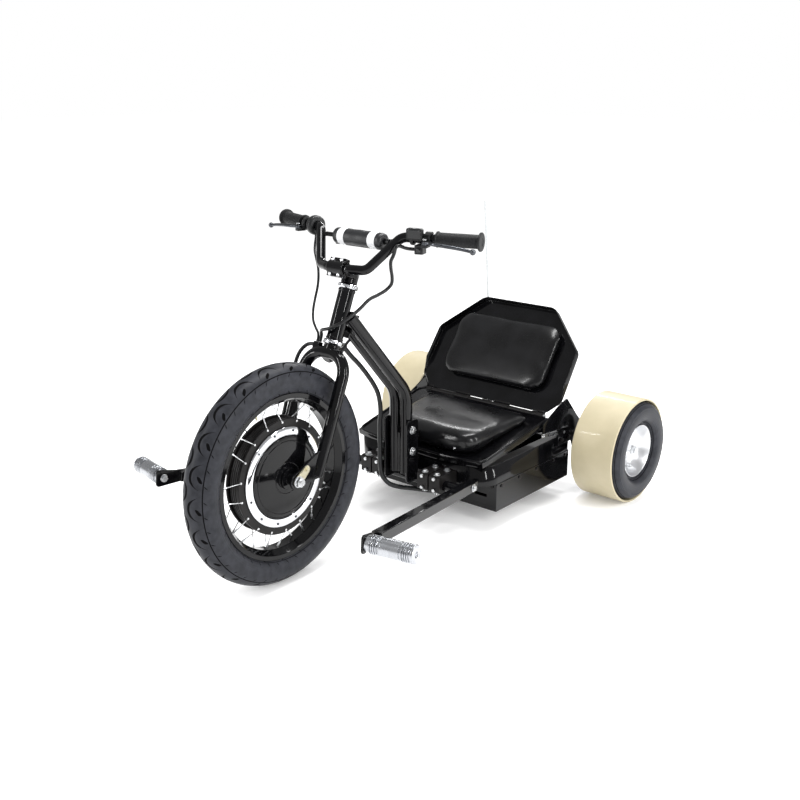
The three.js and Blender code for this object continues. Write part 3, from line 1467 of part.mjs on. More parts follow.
function seatBracket() {
  const top = trayFrontZ + (bracketFront - tubFront) * seatSlopeShare;
  const body = sidePlate([
    [bracketFront, top - bracketFrontHeight], [bracketBackY, bracketBackZ],
    [bracketBackY, carrierTop - bracketFrontHeight],
    [bracketTopY, bracketTopZ], [bracketFront, top],
  ], bracketX, bracketX + bracketThickness);
  const heads = bracketBolts.map(([y, z]) => rod([bracketX + bracketThickness / 2, y, z],
    [bracketX + bracketThickness + bracketBoltHead, y, z], bracketBoltRadius, hexSides));
  const along = (bracketSpacerY - tubFront) / Math.cos(seatSlope);
  const spacerZ = trayFrontZ + (bracketSpacerY - tubFront) * seatSlopeShare - trayLip / 2;
  const spacer = rod([trayHalfWidthAt(along) + 2 * clearance, bracketSpacerY, spacerZ],
    [bracketX + bracketThickness / 2, bracketSpacerY, spacerZ], bracketSpacerRadius, legSides);
  return join(body, ...heads, spacer);
}
for (const [name, side] of sides) {
  part(`seat_bracket_${name}`, onSide(seatBracket(), side), blackPaint());
}

// Seat back, in its own frame: Y up the panel from the hinge, Z forwards and square to it

function seatBackShell() {
  const outline = (inset) => rounded([
    [-backFootHalfWidth, backFoot + inset], [backFootHalfWidth, backFoot + inset],
    [backLowHalfWidth - inset, backLow], [backWideHalfWidth - inset, backWide],
    [backTopHalfWidth - inset / 2, backTop - inset], [-backTopHalfWidth + inset / 2, backTop - inset],
    [-backWideHalfWidth + inset, backWide], [-backLowHalfWidth + inset, backLow],
  ], backCorner - inset, cornerSteps - 3, true);
  const pan = cut(plate(outline(0), -sheet, backFlange), plate(outline(sheet), 0, backFlange + overrun));
  const taper = sidePlate([
    [backFoot - overrun, backFlangeLowShare * backFlange], [backLow, backFlangeLowShare * backFlange],
    [backWide, backFlange], [backWide, backFlange + overrun], [backFoot - overrun, backFlange + overrun],
  ], -backLowHalfWidth - overrun, backLowHalfWidth + overrun);
  const foot = block(-backLowHalfWidth, backLowHalfWidth, backFoot - overrun, backFoot + sheet + overrun,
    0, backFlange + overrun);
  const knuckles = Array.from({ length: (knuckleCount - 1) / 2 }, (_, k) => {
    const x0 = knuckleStart(2 * k + 1);
    const x1 = x0 + knuckleLength - knuckleGap;
    const leaf = block(x0, x1, 0, backFoot + sheet, -sheet, 0);
    return join(rod([x0, 0, 0], [x1, 0, 0], hingeRadius, knuckleSides), leaf);
  });
  const boreRadius = hingePinRadius + clearance;
  const bore = hole([-hingeHalfLength, 0, 0], [hingeHalfLength, 0, 0], boreRadius, knuckleSides);
  return cut(join(cut(pan, taper, foot), ...knuckles), bore);
}
part("seat_back_shell", seatBackShell(), blackPaint(), seatBack);

const backPad = stuffedPad({
  x0: -backPadHalfWidth,
  x1: backPadHalfWidth,
  y0: backPadBottom,
  y1: backPadTop,
  corner: backPadCorner,
  height: backPadHeight,
  crown: backPadCrown,
  drawIn: backPadDrawIn,
  roll: backPadRoll,
  heightShare: backPadEndShare,
  widthShare: backPadEndShare,
});
part("seat_back_pad", backPad.translate(0, 0, clearance), blackVinyl(), seatBack);

// Flag pole, on a bracket that stands on the base frame's rear tube
function flagPole() {
  const foot = tubTop + clearance;
  const [x, y] = poleFoot;
  const bracket = block(x - poleBracketHalfWidth, x + poleBracketHalfWidth, tubBack - frameTube,
    y + poleBracketHalfWidth, foot, foot + poleBracketThickness);
  const socket = rod([x, y, foot], [x, y, foot + poleSocketHeight], poleSocketRadius, legSides);
  return join(bracket, socket, rod([x, y, foot + poleBracketThickness], poleTip, poleRadius, poleSides));
}
part("flag_pole", flagPole(), fibreglass());

// Cables
part("right_control_cable", cable(carried(rightCableRoute, frontTyreRadius), thinCableRadius), cableSkin());
part("left_control_cable", cable(carried(leftCableRoute, frontTyreRadius), bundleRadius), cableSkin());
part("motor_cable", cable(carried(motorCableRoute, frontTyreRadius), motorCableRadius), cableSkin());
part("wiring_harness", cable(carried(harnessRoute, neckBottom), harnessRadius), cableSkin());

export default trike;
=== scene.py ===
# %% [markdown]
# # A drift trike
# A drift trike is a low three-wheeler with a spoked motor wheel in front and two small wheels in plastic
# sleeves behind, so that the tail slides out in a turn. The frame of plain solids already says where each part is
# and what it turns with. This lesson dresses that frame with smooth tubes, spun wheels, stuffed vinyl and paint.

import math

import bmesh
import bpy
from mathutils import Matrix, Vector


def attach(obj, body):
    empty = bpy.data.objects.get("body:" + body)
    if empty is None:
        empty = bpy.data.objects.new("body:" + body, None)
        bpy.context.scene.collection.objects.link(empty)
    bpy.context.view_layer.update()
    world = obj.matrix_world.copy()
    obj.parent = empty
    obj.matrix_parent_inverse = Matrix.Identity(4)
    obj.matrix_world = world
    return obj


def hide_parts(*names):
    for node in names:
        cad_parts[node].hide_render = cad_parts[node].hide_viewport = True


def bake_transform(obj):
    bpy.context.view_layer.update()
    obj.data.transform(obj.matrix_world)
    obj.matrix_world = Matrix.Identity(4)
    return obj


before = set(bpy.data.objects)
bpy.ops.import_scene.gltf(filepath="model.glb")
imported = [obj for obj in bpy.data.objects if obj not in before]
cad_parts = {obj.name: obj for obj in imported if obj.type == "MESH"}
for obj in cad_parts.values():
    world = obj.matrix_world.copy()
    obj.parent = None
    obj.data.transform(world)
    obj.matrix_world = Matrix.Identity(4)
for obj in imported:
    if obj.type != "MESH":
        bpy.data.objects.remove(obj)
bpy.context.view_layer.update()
MM = 0.001

# %% [markdown]
# ## Where things are
# The fork leans back, the grips sweep back and the seat slopes, so a piece is easiest to model lying straight in a
# frame of its own. Each frame is one matrix in millimetres. The sizes repeat those of the solid model.

# %% Frames of the main groups
HEAD_TILT = math.radians(22.69)
HEAD = Vector((0, -227.2906, 524.1238))
FRONT_AXLE = Vector((0, -415.35, 255.8))
REAR_AXLE = Vector((334, 528.65, 142.5))
SEAT_SLOPE = math.atan(0.185)
TRAY_FRONT = Vector((0, 75, 188.3706))
HINGE = Vector((0, 365.4548, 239.5631))
BACK_LEAN = math.radians(36)

steering_place = Matrix.Translation(HEAD) @ Matrix.Rotation(-HEAD_TILT, 4, "X")
front_wheel_place = Matrix.Translation(FRONT_AXLE)
tray_place = Matrix.Translation(TRAY_FRONT) @ Matrix.Rotation(SEAT_SLOPE, 4, "X")
back_place = Matrix.Translation(HINGE) @ Matrix.Rotation(math.pi / 2 - BACK_LEAN, 4, "X")
here = Matrix.Identity(4)
SIDES = ((1, "left"), (-1, "right"))


def on_side(side):
    """Leaves the rider's left side, 1, as it is and mirrors the right side, -1."""
    return Matrix.Diagonal((side, 1, 1, 1))


print("steering axis leans back", round(math.degrees(HEAD_TILT), 1), "degrees")

# %% Frames of the two grips
UPPER_BEND = Vector((125, -6, 261))
BAR_END = Vector((302.8, 47.2, 283.2))
grip_along = (BAR_END - UPPER_BEND).normalized()
GRIP_LENGTH = (BAR_END - UPPER_BEND).length
plumb = Vector((0, -math.sin(HEAD_TILT), math.cos(HEAD_TILT)))
grip_up = (plumb - grip_along * plumb.dot(grip_along)).normalized()
grip_back = grip_up.cross(grip_along)


def control_place(side):
    """The grip's frame on one side: X outwards, Y backwards, Z up. side is 1 on the left, -1 on the right."""
    basis = Matrix((grip_along, grip_back, grip_up)).transposed().to_4x4()
    return steering_place @ on_side(side) @ Matrix.Translation(UPPER_BEND) @ basis


print("grip length from the bend:", round(GRIP_LENGTH, 1), "mm")

# %% Frames of the two peg arms
ARM_PITCH = math.radians(5.85)
ARM_REACH = {1: 493.5, -1: 543.8}
arm_spread = ARM_REACH[1] * math.cos(ARM_PITCH) * math.sin(math.radians(11.38))


def arm_place(side):
    """The arm's frame on one side: it runs forwards along -Y. The right one is the mirror of a left arm."""
    splay = math.asin(arm_spread / ARM_REACH[side] / math.cos(ARM_PITCH))
    turn = Matrix.Rotation(splay, 4, "Z") @ Matrix.Rotation(-ARM_PITCH, 4, "X")
    return on_side(side) @ Matrix.Translation((204, 29.5, 141.9)) @ turn


print("peg arms reach", ARM_REACH[1], "and", ARM_REACH[-1], "mm")

# %% [markdown]
# ## Camera and light
# The photograph was taken from in front, to the rider's left and a little above, in a white studio. A long soft box
# hangs over the trike and four narrow ones stand round it, because gloss paint shows nothing but what it mirrors:
# the boxes draw the thin highlights on the tubes.


# %% Camera
def show(name, data, matrix=here):
    """Puts an object into the scene."""
    shown = bpy.data.objects.new(name, data)
    shown.matrix_world = matrix
    bpy.context.scene.collection.objects.link(shown)
    return shown


CAMERA_AT = Vector((1.6616, -1.9463, 1.1340))
AZIMUTH = math.radians(40.368)
ELEVATION = math.radians(17.406)
backwards = Vector((
    math.sin(AZIMUTH) * math.cos(ELEVATION), -math.cos(AZIMUTH) * math.cos(ELEVATION), math.sin(ELEVATION)))
right = Vector((math.cos(AZIMUTH), math.sin(AZIMUTH), 0))
camera_data = bpy.data.cameras.new("camera")
camera_data.lens = 48.27
camera_data.sensor_width = 36
facing = Matrix((right, backwards.cross(right), backwards)).transposed().to_4x4()
bpy.context.scene.camera = show("camera", camera_data, Matrix.Translation(CAMERA_AT) @ facing)
print("camera at", tuple(CAMERA_AT), "lens", camera_data.lens)


# %% Lights
def soft_box(name, place, aim, width, height, power):
    """A rectangular lamp at a place, turned to an aim, with its power in watts."""
    data = bpy.data.lights.new(name, "AREA")
    data.shape = "RECTANGLE"
    data.size = width
    data.size_y = height
    data.energy = power
    look = (Vector(aim) - Vector(place)).to_track_quat("-Z", "Y")
    show(name, data, Matrix.Translation(place) @ look.to_matrix().to_4x4())


soft_box("overhead_box", (0.1, 0.5, 2.4), (0, 0.1, 0.2), 0.35, 1.9, 50)
soft_box("front_strip", (2.5, -0.7, 1.5), (0.1, 0, 0.4), 0.1, 1.9, 34)
soft_box("left_strip", (-1.5, -2.5, 1.4), (0, 0, 0.4), 0.12, 1.9, 34)
soft_box("right_strip", (2.6, 1.2, 1.3), (0, 0.2, 0.4), 0.12, 1.7, 30)
soft_box("rear_strip", (-1.0, 2.4, 1.9), (0, 0.2, 0.3), 1.8, 0.15, 30)
world = bpy.data.worlds.new("studio")
world.use_nodes = True
room = world.node_tree.nodes["Background"]
room.inputs["Color"].default_value = (1, 1, 1, 1)
bpy.context.scene.world = world
bpy.context.scene.view_settings.view_transform = "Standard"
print("five soft boxes and a white room")

# %% [markdown]
# ## Finishes
# Each finish is a small network of nodes that starts from what the real thing is. One function turns the hex
# values that painters use to the linear values that the renderer needs, and one adds a node with its links.


# %% Colour and node helpers
def paint(code):
    """An sRGB hex colour as linear RGBA."""
    channels = [int(code[i:i + 2], 16) / 255 for i in (0, 2, 4)]
    linear = [c / 12.92 if c <= 0.04045 else ((c + 0.055) / 1.055) ** 2.4 for c in channels]
    return (*linear, 1)


def add_node(tree, kind, inputs=None, output=0, **settings):
    """Adds a node and gives one of its outputs. An input is a value, or another node's output to link."""
    node = tree.nodes.new("ShaderNode" + kind)
    for name, value in settings.items():
        setattr(node, name, value)
    for name, value in (inputs or {}).items():
        if isinstance(value, bpy.types.NodeSocket):
            tree.links.new(value, node.inputs[name])
        else:
            node.inputs[name].default_value = value
    return node.outputs[output]


def maths(tree, operation, *values):
    """Adds a Math node. Each of its values is a number or another node's output."""
    return add_node(tree, "Math", dict(enumerate(values)), operation=operation)


def mixed(tree, share, first, second):
    """Adds a node that mixes two colours by a share."""
    return add_node(tree, "Mix", {"Factor": share, 6: first, 7: second}, 2, data_type="RGBA")


def new_finish(name, **inputs):
    """A material with a Principled shader, and its tree, shader and Object coordinates."""
    material = bpy.data.materials.new(name)
    material.use_nodes = True
    tree = material.node_tree
    shader = tree.nodes["Principled BSDF"]
    for key, value in inputs.items():
        shader.inputs[key.replace("_", " ")].default_value = value
    return material, tree, shader, add_node(tree, "TexCoord", output="Object")


# The room is white. It is dimmer in reflections and in what it lights, because the real white sweep was smaller.
mirrored = add_node(world.node_tree, "LightPath", output="Is Glossy Ray")
lit = add_node(world.node_tree, "LightPath", output="Is Diffuse Ray")
strength = maths(world.node_tree, "MULTIPLY_ADD", mirrored, -0.55, 1.0)
strength = maths(world.node_tree, "MULTIPLY_ADD", lit, -0.1, strength)
world.node_tree.links.new(strength, room.inputs["Strength"])


def wire(tree, shader, colour, roughness, normal):
    """Links the three outputs that nearly every finish ends in to its shader."""
    for name, value in (("Base Color", colour), ("Roughness", roughness), ("Normal", normal)):
        tree.links.new(value, shader.inputs[name])


print("black as 1b1c1f is", [round(value, 4) for value in paint("1b1c1f")])

# %% [markdown]
# ### Paints, metals and plastics
# Most finishes on a trike are an even film or a bare skin that only varies a little: its colour and its shine cloud
# between two near values, it has a fine bump from how it was laid on, and its edges are slightly rounded. One
# recipe serves them all. What tells them apart is the tone, the shine and the size of the bumps.


# %% Clouded finishes
def clouded(name, tones, patch, roughness, bumps, depth, edge, **inputs):
    """A film that clouds between two tones and two roughnesses, in patches over bumps of some mm."""
    material, tree, shader, place = new_finish(name, **inputs)
    cloud = add_node(tree, "TexNoise", {"Vector": place, "Scale": 1 / (patch * MM), "Detail": 4})
    share = add_node(tree, "MapRange", {"Value": cloud, "From Min": 0.35, "From Max": 0.65})
    colour = mixed(tree, share, paint(tones[0]), paint(tones[1]))
    dull = add_node(tree, "MapRange", {"Value": share, "To Min": roughness[0], "To Max": roughness[1]})
    fine = add_node(tree, "TexNoise", {"Vector": place, "Scale": 1 / (bumps * MM), "Detail": 2})
    soft = add_node(tree, "Bevel", {"Radius": edge * MM}, samples=4)
    normal = add_node(tree, "Bump", {"Height": fine, "Distance": depth * MM, "Normal": soft})
    wire(tree, shader, colour, dull, normal)
    return material


# Powder coat is baked plastic: near-black under a clear skin, with the faint orange peel of the powder as it ran.
# Satin enamel is sprayed, and scatters light with a slightly sandy film.
gloss = clouded("powder_coated_steel_gloss_black", ("050506", "0b0b0d"), 45, (0.09, 0.12), 5, 0.006, 0.9,
                Specular_IOR_Level=0.15, Coat_Weight=0.2, Coat_Roughness=0.05)
satin = clouded("sprayed_enamel_satin_black", ("0b0a0a", "141212"), 30, (0.32, 0.42), 2, 0.012, 0.8,
                Specular_IOR_Level=0.2)
print("paints ready:", gloss.name, satin.name)

# %% Metals
# Chrome plate is mirror smooth over polished steel. Zinc plate is a brighter, slightly milky grey, and its yellow
# form has a straw tint. Cast aluminium is pale and machined, with a soft shine, and polishing brightens it.
chrome = clouded("chrome_plated_steel", ("dcdde0", "d2d4d7"), 14, (0.04, 0.08), 2, 0.001, 0.4, Metallic=1.0)
zinc = clouded("zinc_plated_steel", ("cfd0d1", "bcbec0"), 14, (0.24, 0.34), 1.5, 0.003, 0.4, Metallic=1.0)
yellow_zinc = clouded("yellow_zinc_plated_steel", ("c9c4ae", "beb79c"), 14, (0.26, 0.34), 1.5, 0.003, 0.4, Metallic=1.0)
aluminium = clouded("machined_cast_aluminium", ("b4b6ba", "a6a8ac"), 14, (0.22, 0.3), 1, 0.003, 0.4, Metallic=1.0)
bright_aluminium = clouded("polished_aluminium", ("e2e3e5", "dadbdd"), 30, (0.3, 0.36), 1.5, 0.002, 0.4, Metallic=1.0)
grey_aluminium = clouded("anodised_aluminium_grey", ("55575b", "47494d"), 14, (0.26, 0.36), 1, 0.003, 0.4, Metallic=1.0)
print("metals ready:", chrome.name, zinc.name, aluminium.name, bright_aluminium.name, grey_aluminium.name)

# %% Plastics and sheaths
# ABS switch housings have a fine matt grain from the sparked mould. Cable sheath is smoother PVC. The sleeves are
# cut from cream polyethylene pipe, faintly waxy. Shrink wrap clings and shines. Fibreglass is pulled in rods.
abs_plastic = clouded("moulded_abs_black", ("0b0c0d", "111214"), 22, (0.32, 0.44), 1.2, 0.02, 0.6,
                      Specular_IOR_Level=0.35)
grip_rubber = clouded("moulded_rubber_black", ("0e0f10", "161719"), 22, (0.44, 0.56), 1.0, 0.04, 0.5,
                      Specular_IOR_Level=0.35)
sheath = clouded("extruded_pvc_sheath_black", ("0b0c0d", "131416"), 22, (0.3, 0.42), 2, 0.01, 0.4,
                 Specular_IOR_Level=0.35)
polyethylene = clouded("extruded_polyethylene_cream", ("b2a88c", "aca286"), 60, (0.4, 0.5), 6, 0.02, 0.8,
                       Coat_Weight=0.1)
shrink_wrap = clouded("pvc_shrink_wrap_blue", ("22345c", "2c4272"), 22, (0.25, 0.4), 8, 0.2, 0.8)
glass_rod = clouded("pultruded_fibreglass_pale", ("c4c7c8", "b8bbbc"), 22, (0.3, 0.42), 3, 0.03, 0.4)
screen_glass = clouded("tinted_acrylic_black", ("050607", "0b0d10"), 22, (0.06, 0.1), 8, 0.005, 0.3, Coat_Weight=0.6)
print("plastics ready")

# %% [markdown]
# ### Seat vinyl
# The cushions wear vinyl leathercloth: a lacquered plastic skin whose pebbles were pressed in by an embossing roll.
# Over foam it is never quite flat, so slow waves lie under the pebbles and break up its highlights.


# %% Vinyl
def seat_vinyl():
    """Vinyl leathercloth, embossed and lacquered: pebbled, glossy and a little wavy."""
    material, tree, shader, place = new_finish(
        "embossed_vinyl_black", Specular_IOR_Level=0.22, Coat_Weight=0.2, Coat_Roughness=0.16)
    wear = add_node(tree, "TexNoise", {"Vector": place, "Scale": 1 / (60 * MM), "Detail": 3})
    share = add_node(tree, "MapRange", {"Value": wear, "From Min": 0.35, "From Max": 0.65})
    colour = mixed(tree, share, paint("070708"), paint("0d0d0f"))
    dull = add_node(tree, "MapRange", {"Value": share, "To Min": 0.26, "To Max": 0.36})
    # The embossing is about 0.8 mm on the real cloth and 2.4 mm here, so that it shows.
    cells = add_node(tree, "TexVoronoi", {"Vector": place, "Scale": 1 / (2.4 * MM)}, feature="DISTANCE_TO_EDGE")
    pebbles = add_node(tree, "MapRange", {"Value": cells, "From Max": 0.2})
    fine = add_node(tree, "Bump", {"Height": pebbles, "Distance": 0.012 * MM})
    waves = add_node(tree, "TexNoise", {"Vector": place, "Scale": 1 / (38 * MM)})
    wire(tree, shader, colour, dull, add_node(tree, "Bump", {"Height": waves, "Distance": 0.25 * MM, "Normal": fine}))
    return material


vinyl = seat_vinyl()
print("vinyl ready:", vinyl.name)

# %% [markdown]
# ### Tyre rubber
# A tyre is moulded: its sidewall carries fine rings from the turned mould, and its tread has hooked grooves. The
# grooves follow the wheel round, so the pattern is worked out from each point's angle round the axle and its
# distance from the middle. Cutting them as shapes would need thousands of faces, and at this size a bump does.
# The grooves are painted near black as the shade that would lie in them.


# %% Wheel coordinates and grooves
def round_axle(tree, place, axle):
    """A point's turns round an axle along X, its radius in mm and its step in mm from the middle."""
    away = add_node(tree, "Mapping", {"Vector": place, "Location": [-value * MM for value in axle]})
    axes = {axis: add_node(tree, "SeparateXYZ", {"Vector": away}, axis) for axis in "XYZ"}
    angle = maths(tree, "ARCTAN2", axes["Y"], axes["Z"])
    turns = maths(tree, "DIVIDE", angle, 2 * math.pi)
    flat = add_node(tree, "CombineXYZ", {"Y": axes["Y"], "Z": axes["Z"]})
    length = add_node(tree, "VectorMath", {0: flat}, "Value", operation="LENGTH")
    radius = maths(tree, "DIVIDE", length, MM)
    step = maths(tree, "DIVIDE", axes["X"], MM)
    return turns, radius, step


def hooks(tree, turns, step, count, near, far, width, offset):
    """1 in a hooked groove: it runs round near the middle and both its ends turn out to the shoulder."""
    across = maths(tree, "ABSOLUTE", step)
    left = maths(tree, "GREATER_THAN", step, 0)
    phase = maths(tree, "MULTIPLY", turns, count)
    phase = maths(tree, "MULTIPLY_ADD", left, offset, phase)
    aside = maths(tree, "PINGPONG", phase, 0.5)
    bow = maths(tree, "POWER", aside, 2.4)
    line = maths(tree, "MULTIPLY_ADD", bow, (far - near) / 0.36 ** 2.4, near)
    wide = add_node(tree, "MapRange", {"Value": aside, "From Min": 0.2, "From Max": 0.4, "To Min": width, "To Max": 0})
    return maths(tree, "COMPARE", across, line, wide)


def slashes(tree, turns, step, count, slant, near, far, width, offset):
    """1 in a short slanting groove: so many round the wheel, from near to far off the middle."""
    across = maths(tree, "ABSOLUTE", step)
    share = add_node(tree, "MapRange", {"Value": across, "From Min": near, "From Max": far})
    left = maths(tree, "GREATER_THAN", step, 0)
    phase = maths(tree, "MULTIPLY", turns, count)
    phase = maths(tree, "MULTIPLY_ADD", share, slant, phase)
    phase = maths(tree, "MULTIPLY_ADD", left, offset, phase)
    beside = maths(tree, "PINGPONG", phase, 0.5)
    taper = maths(tree, "PINGPONG", share, 0.5)
    narrow = maths(tree, "POWER", taper, 0.5)
    limit = maths(tree, "MULTIPLY", narrow, width * math.sqrt(2))
    return maths(tree, "LESS_THAN", beside, limit)


print("groove helpers ready")


# %% Tyre finishes
def tyre_rubber(name, axle, treads, wall_radius, shoulder):
    """Moulded tyre rubber: dark grey, with painted shade near black in the grooves, and mould rings inside the wall
    radius.
    """
    material, tree, shader, place = new_finish(name, Specular_IOR_Level=0.13)
    turns, radius, step = round_axle(tree, place, axle)
    across = maths(tree, "ABSOLUTE", step)
    groove_and_painted_shade = maths(tree, "COMPARE", across, shoulder, 0.7)
    for tread in treads:
        groove_and_painted_shade = maths(tree, "MAXIMUM", groove_and_painted_shade, tread(tree, turns, step))
    cloud = add_node(tree, "TexNoise", {"Vector": place, "Scale": 1 / (18 * MM), "Detail": 4})
    share = add_node(tree, "MapRange", {"Value": cloud, "From Min": 0.35, "From Max": 0.65})
    rubber = mixed(tree, share, paint("25262a"), paint("303136"))
    # Painted shade: the grooves and the shoulder line are only a bump, so they are painted near black as the shade in
    # them.
    colour = mixed(tree, groove_and_painted_shade, rubber, paint("020203"))
    dull = add_node(tree, "MapRange", {"Value": share, "To Min": 0.36, "To Max": 0.48})
    dull = maths(tree, "MAXIMUM", dull, groove_and_painted_shade)
    # The mould's rings stand 4.8 mm apart.
    ring = maths(tree, "MULTIPLY", radius, 2 * math.pi / 4.8)
    ring = maths(tree, "SINE", ring)
    wall = maths(tree, "LESS_THAN", radius, wall_radius)
    ring = maths(tree, "MULTIPLY", ring, wall)
    soft = add_node(tree, "Bump", {"Height": cloud, "Distance": 0.05 * MM})
    rings = add_node(tree, "Bump", {"Height": ring, "Distance": 0.08 * MM, "Normal": soft})
    wire(tree, shader, colour, dull, add_node(
        tree, "Bump", {"Height": groove_and_painted_shade, "Distance": 2.6 * MM, "Normal": rings}, invert=True))
    return material


front_rubber = tyre_rubber("moulded_tyre_rubber_front", FRONT_AXLE, [
    lambda tree, turns, step: hooks(tree, turns, step, 22, 3.5, 21, 3.2, 0.5),
    lambda tree, turns, step: slashes(tree, turns, step, 22, 0.16, 19, 29, 0.08, 0.5),
    lambda tree, turns, step: slashes(tree, turns, step, 44, 0.2, 31.5, 35.5, 0.04, 0.5)], 212, 30.6)
rear_rubber = tyre_rubber("moulded_tyre_rubber_rear", REAR_AXLE, [], 132, 64)
print("tyre rubber ready:", front_rubber.name, rear_rubber.name)

# %% [markdown]
# ### Pad cover
# The foam on the crossbar has a sewn cover of coated nylon: a tight black weave that shines a little, with two
# plain white bands. The bands sit on the bar, so they follow its X axis.


# %% Coated nylon
def pad_cover(bar_middle, half_band, band_at):
    """Coated nylon over foam, with two white bands at a distance each side of the bar's middle."""
    material, tree, shader, place = new_finish("coated_nylon_black_and_white", IOR=1.5)
    along = add_node(tree, "SeparateXYZ", {"Vector": place}, "X")
    side = maths(tree, "SUBTRACT", along, bar_middle * MM)
    side = maths(tree, "ABSOLUTE", side)
    band = maths(tree, "COMPARE", side, band_at * MM, half_band * MM)
    colour = mixed(tree, band, paint("101114"), paint("dcdddf"))
    cloud = add_node(tree, "TexNoise", {"Vector": place, "Scale": 1 / (20 * MM)})
    dull = add_node(tree, "MapRange", {"Value": cloud, "To Min": 0.34, "To Max": 0.52})
    # The weave is about 0.5 mm on the real cover and 1.5 mm here, so that it shows.
    weave = add_node(tree, "TexWave", {"Vector": place, "Scale": 1 / (9.4 * MM), "Distortion": 0.4}, "Fac")
    fine = add_node(tree, "Bump", {"Height": weave, "Distance": 0.03 * MM})
    wire(tree, shader, colour, dull, add_node(tree, "Bump", {"Height": cloud, "Distance": 0.5 * MM, "Normal": fine}))
    return material


PAD_MIDDLE = 9
cover = pad_cover(PAD_MIDDLE, 10.5, 47)
print("pad cover ready:", cover.name)

# %% [markdown]
# ## Modelling tools
# Nearly all of a trike is turned, bent or cut from sheet. So five small helpers do most of the work: an outline
# spun round an axle, a ring extruded along a bent path, a plate raised from an outline, a round bar and a block. A
# bevel on the finished piece rounds every sharp edge, because it is the rounded edges that catch the light.


# %% Pieces
def add_modifier(piece, name, kind, **settings):
    """Adds a modifier with its settings."""
    modifier = piece.modifiers.new(name, kind)
    for setting, value in settings.items():
        setattr(modifier, setting, value)


def round_edges(piece, name, width, segments, angle):
    """Rounds the edges that are sharper than an angle in degrees, by a width in mm."""
    add_modifier(piece, name, "BEVEL", width=width * MM, segments=segments, limit_method="ANGLE",
                 angle_limit=math.radians(angle))


SHEET = 2.5


def thicken(piece):
    """Gives a pan of faces the thickness of its sheet metal, inwards."""
    add_modifier(piece, "sheet", "SOLIDIFY", thickness=SHEET * MM, offset=-1)


def new_piece(name, bm, finish, body, stands_for=(), place=here, edge=0.6, angle=35):
    """Places a bmesh in millimetres as a shown piece in metres, riding on a body."""
    bmesh.ops.remove_doubles(bm, verts=bm.verts, dist=0.001)
    bmesh.ops.dissolve_degenerate(bm, dist=0.001, edges=bm.edges)
    bmesh.ops.transform(bm, matrix=Matrix.Scale(MM, 4) @ place, verts=bm.verts)
    bmesh.ops.recalc_face_normals(bm, faces=bm.faces)
    mesh = bpy.data.meshes.new(name)
    bm.to_mesh(mesh)
    bm.free()
    mesh.materials.append(finish)
    mesh.shade_smooth()
    mesh.set_sharp_from_angle(angle=math.radians(angle))
    piece = show(name, mesh)
    if edge:
        round_edges(piece, "rounded_edges", edge, 2, angle)
    if body:
        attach(piece, body)
    if stands_for:
        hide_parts(*stands_for)
    return piece


def spun(bm, outline, steps=72):
    """Spins an outline of (along, radius) pairs round the X axis. It closes on itself, or on the axis."""
    points = [bm.verts.new((x, 0, radius)) for x, radius in outline]
    pairs = zip(points, points[1:] + points[:1])
    edges = [bm.edges.new(pair) for pair in pairs if pair[0].co.z > 0 or pair[1].co.z > 0]
    bmesh.ops.spin(bm, geom=points + edges, axis=(1, 0, 0), cent=(0, 0, 0), angle=2 * math.pi, steps=steps,
                   use_merge=True)


def rod(bm, start, end, radius, sides=32, end_radius=None):
    """A round bar between two points, or a cone where it ends in another radius."""
    start, end = Vector(start), Vector(end)
    span = end - start
    turn = Vector((0, 0, 1)).rotation_difference(span).to_matrix().to_4x4()
    matrix = Matrix.Translation((start + end) / 2) @ turn
    last = radius if end_radius is None else end_radius
    return bmesh.ops.create_cone(bm, cap_ends=True, segments=sides, radius1=radius, radius2=last,
                                 depth=span.length, matrix=matrix)["verts"]


def block(bm, x0, x1, y0, y1, z0, z1):
    """A block between two corners."""
    size = Matrix.Diagonal((x1 - x0, y1 - y0, z1 - z0, 1))
    middle = Matrix.Translation(((x0 + x1) / 2, (y0 + y1) / 2, (z0 + z1) / 2))
    return bmesh.ops.create_cube(bm, size=1, matrix=middle @ size)["verts"]


def plate(bm, outline, low, high, radii=0.0, segments=8, upwards=True):
    """A plate on an outline in X and Y between two heights, or on one in Y and Z between two sides."""
    lift = Vector((0, 0, high - low)) if upwards else Vector((high - low, 0, 0))
    corners = [bm.verts.new((a, b, low) if upwards else (low, a, b)) for a, b in outline]
    face = bm.faces.new(corners)
    raised = bmesh.ops.extrude_face_region(bm, geom=[face], use_keep_orig=True)["geom"]
    tops = [item for item in raised if isinstance(item, bmesh.types.BMVert)]
    bmesh.ops.translate(bm, vec=lift, verts=tops)
    each = radii if isinstance(radii, (list, tuple)) else [radii] * len(outline)
    for vert, radius in zip(corners, each):
        if radius and vert.is_valid:
            spans = {edge: (edge.verts[0].co - edge.verts[1].co).normalized() for edge in vert.link_edges}
            walls = [edge for edge, span in spans.items() if abs(span.dot(lift.normalized())) > 0.99]
            bmesh.ops.bevel(bm, geom=walls, offset=radius, offset_type="OFFSET", affect="EDGES", segments=segments,
                            profile=0.5, material=-1)
    return bm


print("modelling tools ready")


# %% Bent paths
def bent(points, radius, steps=10):
    """A path with an arc of the given radius at each inner corner."""
    corners = [Vector(point) for point in points]
    path = [corners[0]]
    for before, corner, after in zip(corners, corners[1:], corners[2:]):
        into = (corner - before).normalized()
        out = (after - corner).normalized()
        angle = into.angle(out)
        inwards = (out - into * math.cos(angle)).normalized()
        start = corner - into * radius * math.tan(angle / 2)
        for k in range(steps + 1):
            along = angle * k / steps
            path.append(start + into * radius * math.sin(along) + inwards * radius * (1 - math.cos(along)))
    return path + [corners[-1]]


